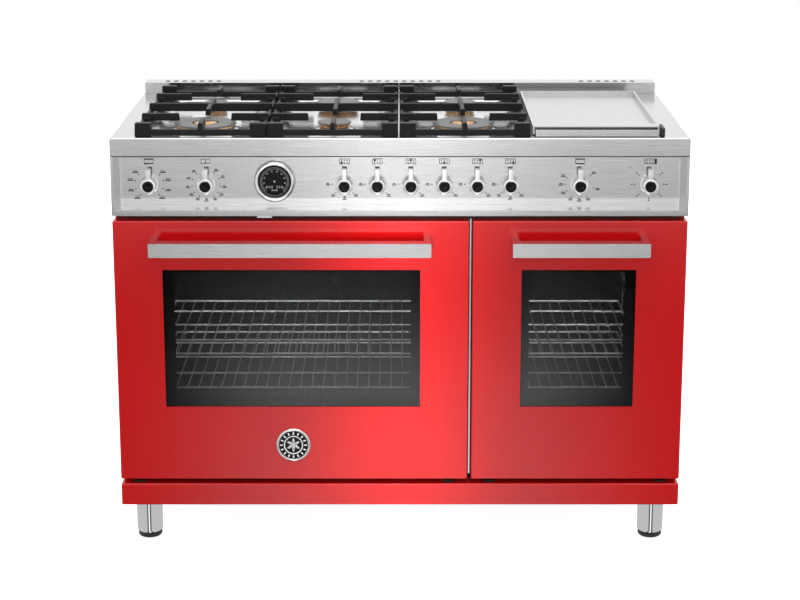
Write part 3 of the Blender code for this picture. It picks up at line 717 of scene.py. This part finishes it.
bm = bmesh.new()
for i in range(46):
    angle = -135 + 270 * i / 45
    add_dial_mark(bm, 0.0272, angle, 0.0007, 0.0024 if i % 5 else 0.0040)
for i in range(72):
    angle = -180 + 360 * i / 72
    add_dial_mark(bm, 0.0305, angle, 0.0028, 0.0004)
for i in range(10):
    angle = -126 + 252 * i / 9
    add_dial_mark(bm, 0.0222, angle, 0.0034, 0.0017)
for i in range(7):
    if i != 3:
        for stroke in (-0.0019, 0.0, 0.0019):
            place = dial_place @ Matrix.Translation(((i - 3) * 0.0052, stroke - 0.0118, DIAL_FACE))
            add_bar(bm, place, 0.0032, 0.0008, DIAL_INK)
for i in range(3):
    place = dial_place @ Matrix.Translation(((i - 1) * 0.0046, -0.0188, DIAL_FACE))
    add_bar(bm, place, 0.0030, 0.0026, DIAL_INK)
make_piece("dial_marks", bm, pale_print, "range_body")
bm = bmesh.new()
hub = [(0, 0.0125), (0.0014, 0.0122), (0.0021, 0.0113), (0.0021, 0.0100), (0, 0.0100)]
add_turned(bm, hub, dial_place, 24)
make_piece("dial_hub", bm, pale_print, "range_body")

# ---- Burners ----
# Turned brass burner bodies with flame ports cut round them, and grey enamelled caps. The two large
# ones are double: a wide ring and a small burner in its middle. A spark pin stands beside each.

# Machined brass, tinted by heat.
brass, tree, shader = new_material("machined_brass", Metallic=1.0, Roughness=0.26)
mottle(tree, shader, object_noise(tree, 30), "c08a4e", "e8c08c")
relief(tree, shader, object_noise(tree, 700), 0.05, 0.0003)

# Matt grey enamel over pressed steel, slightly mottled.
cap_enamel, tree, shader = new_material("matt_grey_enamel", Roughness=0.45)
flecks = relief(tree, shader, object_noise(tree, 160, detail=4.0), 0.12, 0.0006)
mottle(tree, shader, flecks, "474747", "5e5e5e")

# White alumina of the spark pins.
ceramic, tree, shader = new_material("glazed_alumina", Base_Color=linear("e9e6df"), Roughness=0.25)
relief(tree, shader, object_noise(tree, 500), 0.05, 0.0002)


def add_port_ring(bm, place, radius, low_z, high_z, count):
    """Teeth round a burner, between which the flames come out."""
    for i in range(count):
        turn = Matrix.Rotation(2 * math.pi * i / count, 4, "Z")
        tooth = place @ turn @ Matrix.Translation((radius, 0, (low_z + high_z) / 2))
        add_bar(bm, tooth, 0.0040, 2 * math.pi * radius / count * 0.55, high_z - low_z)


for name, (spot, cap, skirt) in burner_spots.items():
    place = Matrix.Translation((spot.x, spot.y, TOP))
    double = cap > 0.060
    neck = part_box(f"{name}_burner")[0].z - TOP
    bm = bmesh.new()
    crown = 0.024 if double else 0.62 * cap
    throat = 0.55 * skirt
    top = 0.0095 if double else 0.0086
    body = [
        (0, top), (crown, top), (crown + 0.001, 0.0058), (skirt - 0.0015, 0.0058), (skirt, 0.0046),
        (skirt, 0.0016), (skirt - 0.001, 0.0005), (throat, 0.0005), (throat, neck), (0, neck),
    ]
    add_turned(bm, body, place, 64)
    ring = cap - 0.0045
    add_port_ring(bm, place, ring, 0.0050, (0.0066 if double else 0.0092), max(20, round(ring * 900)))
    if double:
        add_port_ring(bm, place, crown - 0.001, 0.0060, 0.0088, 24)
    make_piece(f"{name}_burner_body", bm, brass, "range_body", [f"{name}_burner"])
    bm = bmesh.new()
    lid = 0.0105 if double else 0.0130
    under = lid - 0.0038
    if double:
        ring_profile = [
            (0.0290, lid - 0.0010), (0.0300, lid - 0.0002), (0.0312, lid), (cap - 0.0030, lid),
            (cap - 0.0012, lid - 0.0004), (cap - 0.0002, lid - 0.0013), (cap, lid - 0.0024),
            (cap - 0.0008, under), (0.0290, under), (0.0290, lid - 0.0010),
        ]
        add_turned(bm, ring_profile, place, 96)
    else:
        lid_profile = [
            (0, lid), (cap * 0.55, lid - 0.0001), (cap - 0.0030, lid - 0.0003),
            (cap - 0.0012, lid - 0.0008), (cap - 0.0002, lid - 0.0016), (cap, lid - 0.0025),
            (cap - 0.0008, under), (0, under),
        ]
        add_turned(bm, lid_profile, place, 80)
    make_piece(f"{name}_burner_lid", bm, cap_enamel, "range_body", [f"{name}_burner_cap"])
    if double:
        bm = bmesh.new()
        core = [
            (0, 0.0114), (0.0120, 0.0113), (0.0170, 0.0108), (0.0195, 0.0098), (0.0200, 0.0090),
            (0, 0.0090),
        ]
        add_turned(bm, core, place, 48)
        make_piece(f"{name}_burner_core", bm, brass, "range_body")
    pins, tips = bmesh.new(), bmesh.new()
    stub = [(0, 0.0065), (0.0022, 0.0060), (0.0028, 0.0045), (0.0028, -0.0055), (0, -0.0055)]
    tip = [(0, 0.0100), (0.0008, 0.0096), (0.0010, 0.0080), (0.0010, 0.006), (0, 0.006)]
    for side in (-1, 1):
        out = skirt + 0.007
        here = Matrix.Translation((spot.x + side * out * 0.8, spot.y + out * 0.6, TOP))
        add_turned(pins, stub, here, 20)
        add_turned(tips, tip, here, 12)
    make_piece(f"{name}_spark_pins", pins, ceramic, "range_body")
    make_piece(f"{name}_spark_tips", tips, chrome, "range_body")


# ---- Grates ----
# Cast iron, one casting over each pair of burners: a low frame on corner blocks, with fingers that
# stand up from it. The bars taper upwards so that the casting leaves its sand mould.

# Cast iron under matt black enamel; the sand's grain shows at about 1 mm.
iron, tree, shader = new_material("enamelled_cast_iron", Roughness=0.42, Specular_IOR_Level=0.25)
sand = relief(tree, shader, object_noise(tree, 900, detail=3.0), 0.35, 0.0006)
mottle(tree, shader, sand, "040404", "0d0d0d")


def add_cast_bar(bm, low, high, draft=0.0016, edge=0.0018):
    """A box whose top is narrower than its foot on the long sides, with rounded edges."""
    low, high = Vector(low), Vector(high)
    place = Matrix.Translation((low + high) / 2) @ Matrix.Diagonal((*(high - low), 1))
    verts = bmesh.ops.create_cube(bm, size=1, matrix=place)["verts"]
    middle = (low + high) / 2
    for vert in verts:
        if vert.co.z > middle.z:
            for axis in (0, 1):
                vert.co[axis] -= math.copysign(draft, vert.co[axis] - middle[axis])
    round_edges(bm, {e for v in verts for e in v.link_edges}, edge, 3)


GRATE_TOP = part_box("left_grate")[1].z - TOP
for column, middle in zip(GRATES, grate_middles):
    low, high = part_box(f"{column}_grate")
    side = (high.x - low.x) / 2
    rows = [burner_spots[f"{column}_{row}"][0].y for row in ("front", "rear")]
    waist = sum(rows) / 2
    half = 0.0060
    bm = bmesh.new()

    def bar(x0, y0, z0, x1, y1, z1, **how):
        add_cast_bar(bm, (middle + x0, y0, TOP + z0), (middle + x1, y1, TOP + z1), **how)

    for y0, y1 in ((low.y + 0.0005, low.y + 0.0125), (high.y - 0.0125, high.y - 0.0005)):
        bar(-side + 0.001, y0, 0.003, side - 0.001, y1, 0.016)
    for sign in (-1, 1):
        x0, x1 = sorted((sign * (side - 0.0004), sign * (side - 0.0110)))
        bar(x0, low.y + 0.002, 0.0065, x1, high.y - 0.002, 0.0185)
        bar(x0, waist - 0.010, 0.0003, x1, waist + 0.010, 0.014)
        x0, x1 = sorted((sign * side, sign * (side - 0.0350)))
        bar(x0, low.y, 0.0003, x1, low.y + 0.0185, GRATE_TOP - 0.0006, draft=0.0010, edge=0.0022)
        bar(x0, high.y - 0.0185, 0.0003, x1, high.y, GRATE_TOP - 0.0006, draft=0.0010, edge=0.0022)
        x0, x1 = sorted((sign * (side - 0.0002), sign * 0.0550))
        for row in rows:
            bar(x0, row - half, 0.0140, x1, row + half, GRATE_TOP)
            lug0, lug1 = sorted((sign * (side - 0.0006), sign * (side - 0.022)))
            bar(lug0, row - 0.010, 0.0065, lug1, row + 0.010, 0.0215)
    bar(-side + 0.0002, waist - half, 0.012, side - 0.0002, waist + half, GRATE_TOP)
    bar(-half, waist - 0.078, 0.0147, half, waist + 0.078, GRATE_TOP - 0.0004)
    bar(-half, low.y + 0.0015, 0.0060, half, low.y + 0.0145, GRATE_TOP - 0.0008)
    bar(-half, low.y + 0.0015, 0.0143, half, low.y + 0.0725, GRATE_TOP - 0.0008)
    bar(-half, high.y - 0.0145, 0.0060, half, high.y - 0.0015, GRATE_TOP - 0.0008)
    bar(-half, high.y - 0.0725, 0.0143, half, high.y - 0.0015, GRATE_TOP - 0.0008)
    bar(-0.011, waist - 0.011, 0.0118, 0.011, waist + 0.011, GRATE_TOP - 0.0012, draft=0.003)
    make_piece(f"{column}_grate_casting", bm, iron, f"{column}_grate", [f"{column}_grate"], 40)

# ---- Griddle ----
# A thick stainless plate with welded upstands, a raised front lip, and a trough that slides in under
# the lip to catch the fat.
plate_steel = brushed_steel("ground_stainless_plate", "cfcfcf", "c3c3c3", 0.36, (1, 0.012, 1))
bm = copied_node("griddle_plate", 0.0009)
make_piece("griddle_casting", bm, plate_steel, "griddle", ["griddle_plate"])
bm = copied_node("grease_tray", 0.0003)
make_piece("grease_trough", bm, steel, "grease_tray", ["grease_tray"])

bm = bmesh.new()
tray_low, tray_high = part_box("grease_tray")
low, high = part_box("griddle_plate")
add_block(
    bm, (high.x + 0.003, tray_low.y + 0.001, TOP + 0.0006),
    (high.x + 0.0095, tray_high.y, TOP + 0.0185), 0.001,
)
make_piece("griddle_end_stop", bm, nylon, "range_body")


def add_wire(bm, start, end, radius, segments=8):
    start, end = Vector(start), Vector(end)
    along = end - start
    place = Matrix.Translation((start + end) / 2) @ along.to_track_quat("Z", "Y").to_matrix().to_4x4()
    bmesh.ops.create_cone(
        bm, cap_ends=True, segments=segments, radius1=radius, radius2=radius, depth=along.length,
        matrix=place,
    )


# Under the plate, a blackened box with two tube burners hangs from the worktop.
left, right, near, far = low.x + 0.018, high.x - 0.018, tray_high.y + 0.022, high.y - 0.018
foot, brim = TOP - 0.046, TOP - 0.0022
bm = bmesh.new()
add_block(bm, (left, near, foot), (right, far, foot + 0.001))
for x in (left, right - 0.001):
    add_block(bm, (x, near, foot), (x + 0.001, far, brim))
for y in (near, far - 0.001):
    add_block(bm, (left, y, foot), (right, y + 0.001, brim))
make_piece("griddle_burner_box", bm, black_steel_and_shade, "range_body")
bm = bmesh.new()
for x in (left + 0.062, right - 0.062):
    add_wire(bm, (x, near + 0.002, TOP - 0.026), (x, far - 0.024, TOP - 0.026), 0.009, 24)
make_piece("griddle_tube_burners", bm, steel, "range_body")

# ---- Ovens ----
# Pressed steel boxes with a dark speckled enamel fired on, wire ladders at the sides, and chromed wire
# racks. A cover at the back of the wide oven hides its fan, its slots drawn as painted shade.

# Vitreous enamel, near black with pale flecks under a millimetre across.
oven_enamel, tree, shader = new_material("speckled_vitreous_enamel", Roughness=0.22)
mottle(tree, shader, object_noise(tree, 1400, detail=1.0), "1c1d20", "8c8e92", 0.68, 0.74)

# Chromed wire, dulled by baking.
rack_wire, tree, shader = new_material("baked_chrome_wire", Metallic=1.0, Roughness=0.30)
mottle(tree, shader, object_noise(tree, 90), "d4d2ce", "ececea")

RACK_PITCH = 0.025
FRAME_WIRE, BAR_WIRE, CROSS_WIRE = 0.0024, 0.0014, 0.0022
OVENS = ("main", "small")
for oven in OVENS:
    keep_node(f"{oven}_oven_cavity", oven_enamel)
    low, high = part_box(f"{oven}_upper_rack")
    x, glow = (low.x + high.x) / 2, high.x - low.x
    soft_light(f"{oven}_oven_glow", (x, -0.21, 0.652), (x, -0.08, 0.3), (glow, 0.05), glow * 11)
    for level in ("upper", "lower"):
        node = f"{oven}_{level}_rack"
        low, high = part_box(node)
        z = (low.z + high.z) / 2
        bm = bmesh.new()
        x0, x1, y0, y1 = low.x + FRAME_WIRE, high.x - FRAME_WIRE, low.y + FRAME_WIRE, high.y - FRAME_WIRE
        corners = [(x, y, z - 0.001) for x, y in ((x0, y0), (x1, y0), (x1, y1), (x0, y1))]
        for start, end in zip(corners, corners[1:] + corners[:1]):
            add_wire(bm, start, end, FRAME_WIRE)
        count = round((high.x - low.x) / RACK_PITCH)
        for i in range(1, count):
            x = low.x + (high.x - low.x) * i / count
            add_wire(bm, (x, low.y + 0.001, z + 0.0005), (x, high.y - 0.001, z + 0.0005), BAR_WIRE)
        for share in (0.26, 0.54, 0.80):
            y = low.y + (high.y - low.y) * share
            add_wire(bm, (low.x + 0.002, y, z - 0.0025), (high.x - 0.002, y, z - 0.0025), CROSS_WIRE)
        make_piece(f"{oven}_{level}_wire_rack", bm, rack_wire, node, [node])


def add_tube(name, points, radius, material, body, closed=False, bend=0.0):
    """A bent tube or wire along points; bend rounds its corners."""
    line = bpy.data.curves.new(name, "CURVE")
    line.dimensions = "3D"
    line.bevel_depth = radius
    line.bevel_resolution = 3
    line.use_fill_caps = not closed
    path = line.splines.new("POLY")
    route = rounded(points, bend, closed) if bend else [Vector(point) for point in points]
    path.points.add(len(route) - 1)
    for place, point in zip(path.points, route):
        place.co = (*point, 1)
    path.use_cyclic_u = closed
    drawn = bpy.data.objects.new(name, line)
    scene.collection.objects.link(drawn)
    bpy.context.view_layer.update()
    mesh = bpy.data.meshes.new_from_object(drawn.evaluated_get(bpy.context.evaluated_depsgraph_get()))
    bpy.data.objects.remove(drawn, do_unlink=True)
    bm = bmesh.new()
    bm.from_mesh(mesh)
    bmesh.ops.remove_doubles(bm, verts=bm.verts[:], dist=1e-6)
    return make_piece(name, bm, material, body)


def rounded(points, bend, closed, steps=6):
    """The points of a path, with an arc in place of each corner."""
    points = [Vector(point) for point in points]
    route = []
    for i, corner in enumerate(points):
        if not closed and i in (0, len(points) - 1):
            route.append(corner)
            continue
        before = (points[i - 1] - corner).normalized() * bend
        after = (points[(i + 1) % len(points)] - corner).normalized() * bend
        for step in range(steps + 1):
            t = step / steps
            route.append(corner + before * (1 - t) ** 2 + after * t ** 2)
    return route


# Braided glass-fibre round a wire core; its plait is 3 mm long.
gasket, tree, shader = new_material("braided_glass_fibre", Roughness=0.9)
plait = relief(tree, shader, object_noise(tree, 330, detail=1.0), 0.5, 0.0008)
mottle(tree, shader, plait, "1f1f1f", "4a4846")

# Nickel-alloy heater sheath, dulled by use.
heater, tree, shader = new_material("oxidised_heater_sheath", Metallic=0.9, Roughness=0.5)
mottle(tree, shader, object_noise(tree, 120), "3c3a38", "5a5855")

MOUTH_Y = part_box("main_oven_cavity")[0].y
OVEN_FLOOR, OVEN_ROOF = 0.215, 0.665
for oven in OVENS:
    rack_low, rack_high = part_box(f"{oven}_upper_rack")
    x0, x1 = rack_low.x - 0.006, rack_high.x + 0.006
    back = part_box(f"{oven}_oven_cavity")[1].y - 0.003
    seal = 0.011
    left, right, foot, head = x0 - seal, x1 + seal, OVEN_FLOOR - seal, OVEN_ROOF + seal
    loop = [(left, foot), (right, foot), (right, head), (left, head)]
    add_tube(
        f"{oven}_mouth_gasket", [(x, MOUTH_Y - 0.0012, z) for x, z in loop], 0.0013, gasket,
        "range_body", closed=True, bend=0.020,
    )
    ladder = bmesh.new()
    lower_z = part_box(f"{oven}_lower_rack")[0].z
    step = rack_low.z - lower_z
    for wall in (x0 + 0.0035, x1 - 0.0035):
        for post_y in (-0.150, 0.020, 0.190):
            add_wire(ladder, (wall, post_y, OVEN_FLOOR + 0.020), (wall, post_y, OVEN_ROOF - 0.050), 0.0015)
        for level in range(-1, 4):
            rail = lower_z - 0.004 + level * step
            add_wire(ladder, (wall, rack_low.y + 0.004, rail), (wall, rack_high.y - 0.004, rail), 0.0015)
    make_piece(f"{oven}_rack_ladders", ladder, chrome, "range_body")
    outer, inner = 0.055, 2.2 * 0.055
    loops = [
        (x0 + outer, back), (x0 + outer, -0.150), (x1 - outer, -0.150), (x1 - outer, 0.150),
        (x0 + inner, 0.150), (x0 + inner, -0.060), (x1 - inner, -0.060), (x1 - inner, 0.070),
    ]
    add_tube(
        f"{oven}_grill_element", [(x, y, OVEN_ROOF - 0.020) for x, y in loops], 0.0036, heater,
        "range_body", bend=0.022,
    )
    bm = bmesh.new()
    dome = [
        (0, 0.016), (0.009, 0.0145), (0.016, 0.009), (0.0185, 0.002), (0.0215, 0.0015), (0.0215, 0), (0, 0),
    ]
    add_turned(bm, dome, facing_front(x1 - 0.070, back + 0.001, OVEN_ROOF - 0.075), 32)
    make_piece(f"{oven}_lamp_dome", bm, chrome, "range_body")

# The fan's cover: pressed steel under the same enamel, with black bars in three rings on its face: painted
# shade where its slots would be.
bm = bmesh.new()
fan_place = facing_front(middle_x("main_upper_rack"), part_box("main_oven_cavity")[1].y - 0.002, 0.455)
cover = [(0, 0.014), (0.085, 0.014), (0.094, 0.011), (0.099, 0.003), (0.112, 0.0018), (0.112, 0), (0, 0)]
add_turned(bm, cover, fan_place, 72)
make_piece("fan_cover", bm, oven_enamel, "range_body")
bm = bmesh.new()
for radius, count in ((0.030, 10), (0.050, 16), (0.070, 22)):
    for i in range(count):
        turn = Matrix.Rotation(2 * math.pi * i / count, 4, "Z")
        slot = fan_place @ turn @ Matrix.Translation((0, radius, 0.01415))
        add_bar(bm, slot, 0.005, 0.014, 0.0006)
make_piece("fan_cover_painted_slot_shade", bm, black_steel_and_shade, "range_body")

# ---- Doors ----
# Each door is a red enamelled steel skin folded round its edge, a dark tinted glass behind its
# window, and an enamelled inner liner with a second glass. It hangs on two arms at its foot.

# Toughened glass with a dark tint, so the racks behind it only just show.
tinted, tree, shader = new_material(
    "tinted_oven_glass", Base_Color=linear("a2a2a4"), IOR=1.5, Transmission_Weight=1.0
)
add_node(
    tree, "ShaderNodeMapRange", [("Value", object_noise(tree, 6))], shader.inputs["Roughness"],
    in_To_Min=0.02, in_To_Max=0.05,
)

# Plain toughened glass for the pane on the oven's side of the door.
clear_glass, tree, shader = new_material(
    "clear_toughened_glass", Base_Color=linear("dfe6e2"), IOR=1.5, Transmission_Weight=1.0
)
add_node(
    tree, "ShaderNodeMapRange", [("Value", object_noise(tree, 8))], shader.inputs["Roughness"],
    in_From_Min=0.3, in_From_Max=0.7, in_To_Min=0.01, in_To_Max=0.04, **smooth,
)

handle_steel = brushed_steel("brushed_handle_stainless", "e0e0e1", "cfcfd0", 0.20)

HINGE_REACH, HINGE_Z = -0.276, (0.1495, 0.1545)
for door in ("main_door", "small_door"):
    low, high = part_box(f"{door}_panel")
    glass_low, glass_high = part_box(f"{door}_window")
    lap = 0.012
    bm = bmesh.new()
    middle = (low + high) / 2
    place = facing_front(middle.x, low.y, middle.z)
    bmesh.ops.create_grid(
        bm, x_segments=1, y_segments=1, size=0.5,
        matrix=place @ Matrix.Diagonal((high.x - low.x, high.z - low.z, 1, 1)),
    )
    face = bm.faces[:][0]
    bmesh.ops.inset_individual(bm, faces=[face], thickness=0.001)
    for vert in face.verts:
        vert.co.x = (glass_low.x + lap) if vert.co.x < middle.x else (glass_high.x - lap)
        vert.co.z = (glass_low.z + lap) if vert.co.z < middle.z else (glass_high.z - lap)
    bmesh.ops.delete(bm, geom=[face], context="FACES")
    outer = [
        e for e in bm.edges
        if e.is_boundary and all(
            min(abs(v.co.x - low.x), abs(v.co.x - high.x), abs(v.co.z - low.z), abs(v.co.z - high.z)) < 1e-6
            for v in e.verts
        )
    ]
    folded = bmesh.ops.extrude_edge_only(bm, edges=outer)["geom"]
    for item in folded:
        if isinstance(item, bmesh.types.BMVert):
            item.co.y = high.y
    beside = {e for edge in outer for v in edge.verts for e in v.link_edges}
    upright = {e for e in beside if abs(e.verts[0].co.y - e.verts[1].co.y) > 0.01}
    round_edges(bm, upright.union(outer), 0.0028, 4)
    bmesh.ops.recalc_face_normals(bm, faces=bm.faces[:])
    if min(bm.faces, key=lambda f: f.calc_center_median().y).normal.y > 0:
        bmesh.ops.reverse_faces(bm, faces=bm.faces[:])
    bmesh.ops.solidify(bm, geom=bm.faces[:], thickness=0.0012)
    make_piece(f"{door}_skin", bm, enamel, door, [f"{door}_panel"])
    keep_node(f"{door}_window", tinted)
    keep_node(f"{door}_liner", oven_enamel)
    bm = copied_node(f"{door}_handle", 0.0034)
    make_piece(f"{door}_bar_handle", bm, handle_steel, door, [f"{door}_handle"])

    liner_low, liner_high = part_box(f"{door}_liner")
    bm = bmesh.new()
    inset_x, inset_z, pane_y = 0.020, 0.015, liner_high.y - 0.0024
    add_block(
        bm, (glass_low.x + inset_x, pane_y - 0.004, glass_low.z + inset_z),
        (glass_high.x - inset_x, pane_y, glass_high.z - inset_z), 0.0006, 1,
    )
    make_piece(f"{door}_inner_pane", bm, clear_glass, door)
    bm = bmesh.new()
    for x in (liner_low.x + 0.030, middle.x, liner_high.x - 0.030):
        for z in (liner_low.z + 0.045, liner_high.z - 0.030):
            add_screw(bm, facing_back(x, liner_high.y, z))
    make_piece(f"{door}_liner_screws", bm, chrome, door)
    bm = bmesh.new()
    for x in (low.x + 0.040, high.x - 0.040):
        add_block(bm, (x - 0.012, HINGE_REACH, HINGE_Z[0]), (x + 0.012, MOUTH_Y, HINGE_Z[1]), 0.0008, 1)
    make_piece(f"{door}_hinge_plates", bm, black_steel_and_shade, "range_body")

# A steel strip stands between the two doors, and a small catch shows over the wide one.
mullion_x = (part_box("main_door_panel")[1].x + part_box("small_door_panel")[0].x) / 2
bm = bmesh.new()
door_low, door_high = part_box("main_door_panel")
add_block(
    bm, (mullion_x - 0.0022, MOUTH_Y - 0.022, door_low.z + 0.004),
    (mullion_x + 0.0022, MOUTH_Y, door_high.z), 0.0006, 1,
)
make_piece("centre_mullion", bm, steel, "range_body")
# The catch takes the paler copy of the steel, its brightness a painted highlight.
bm = bmesh.new()
catch_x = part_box("gauge_dial")[0].x + 0.025
add_block(
    bm, (catch_x - 0.016, FRONT + 0.010, door_high.z + 0.0045),
    (catch_x + 0.016, MOUTH_Y, door_high.z + 0.0085), 0.0008,
)
make_piece("door_catch", bm, sheen_painted_steel, "range_body")

# ---- Back of the cabinet ----
# A galvanised sheet held by pan-head screws, with the threaded brass gas inlet and a moulded cover
# over the electrical terminals.
low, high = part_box("back_panel")
SCREW_INSET, SCREWS_ACROSS = 0.012, 8
bm = bmesh.new()
for i in range(SCREWS_ACROSS):
    x = low.x + 0.020 + (high.x - low.x - 0.040) * i / (SCREWS_ACROSS - 1)
    for z in (low.z + SCREW_INSET, high.z - SCREW_INSET):
        add_screw(bm, facing_back(x, high.y, z))
for z in (0.30, 0.45, 0.60, 0.75):
    for x in (low.x + SCREW_INSET, high.x - SCREW_INSET):
        add_screw(bm, facing_back(x, high.y, z))
make_piece("back_panel_screws", bm, chrome, "range_body")
bm = bmesh.new()
inlet = [
    (0, 0.0130), (0.0070, 0.0130), (0.0075, 0.0020), (0.0080, 0.0130), (0.0098, 0.0130), (0.0105, 0.0120),
    (0.0105, 0.0030), (0.0160, 0.0028), (0.0165, 0.0020), (0.0165, 0.0), (0, 0.0),
]
add_turned(bm, inlet, facing_back(0.44, high.y, 0.20), 36)
make_piece("gas_inlet", bm, brass, "range_body")
bm = bmesh.new()
add_block(bm, (-0.50, high.y, 0.175), (-0.38, high.y + 0.012, 0.255), 0.004, 3)
add_block(bm, (-0.455, high.y, 0.168), (-0.425, high.y + 0.010, 0.180), 0.003, 2)
make_piece("terminal_cover", bm, nylon, "range_body")

# ---- Badge ----
# A small cast badge on the wide door: a bright rim, a black ring with studs, and a plain rosette.
low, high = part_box("badge")
badge_place = facing_front((low.x + high.x) / 2, high.y, (low.z + high.z) / 2)
badge_r = (high.x - low.x) / 2
bm = bmesh.new()
badge_profile = [
    (0, 0.0030), (0.0185, 0.0030), (0.0192, 0.0036), (0.0204, 0.0036), (0.0210, 0.0028), (0.0316, 0.0028),
    (0.0322, 0.0038), (0.0336, 0.0044), (0.0352, 0.0042), (0.0366, 0.0030), (badge_r, 0.0016),
    (badge_r, 0), (0, 0),
]
add_turned(bm, badge_profile, badge_place, 96)
make_piece("badge_casting", bm, chrome, "main_door", ["badge"])
bm = bmesh.new()
black_ring = [(0.0212, 0.0031), (0.0314, 0.0031), (0.0314, 0.0027), (0.0212, 0.0027), (0.0212, 0.0031)]
add_turned(bm, black_ring, badge_place, 72)
add_turned(bm, [(0, 0.0033), (0.0182, 0.0033), (0.0182, 0.0029), (0, 0.0029)], badge_place, 60)
make_piece("badge_enamel", bm, gloss_black, "main_door")
bm = bmesh.new()
for i in range(16):
    turn = Matrix.Rotation(2 * math.pi * i / 16, 4, "Z")
    stud = badge_place @ turn @ Matrix.Translation((0, 0.0263, 0.0033))
    add_bar(bm, stud, 0.0026, 0.0058, 0.0006)
for i in range(6):
    turn = Matrix.Rotation(2 * math.pi * i / 6, 4, "Z")
    petal = badge_place @ turn @ Matrix.Translation((0, 0.0085, 0.0036))
    bmesh.ops.create_uvsphere(
        bm, u_segments=12, v_segments=8, radius=0.5,
        matrix=petal @ Matrix.Diagonal((0.0058, 0.0130, 0.0016, 1)),
    )
add_turned(bm, [(0, 0.0048), (0.0022, 0.0044), (0.0032, 0.0034), (0, 0.0034)], badge_place, 20)
make_piece("badge_relief", bm, chrome, "main_door")
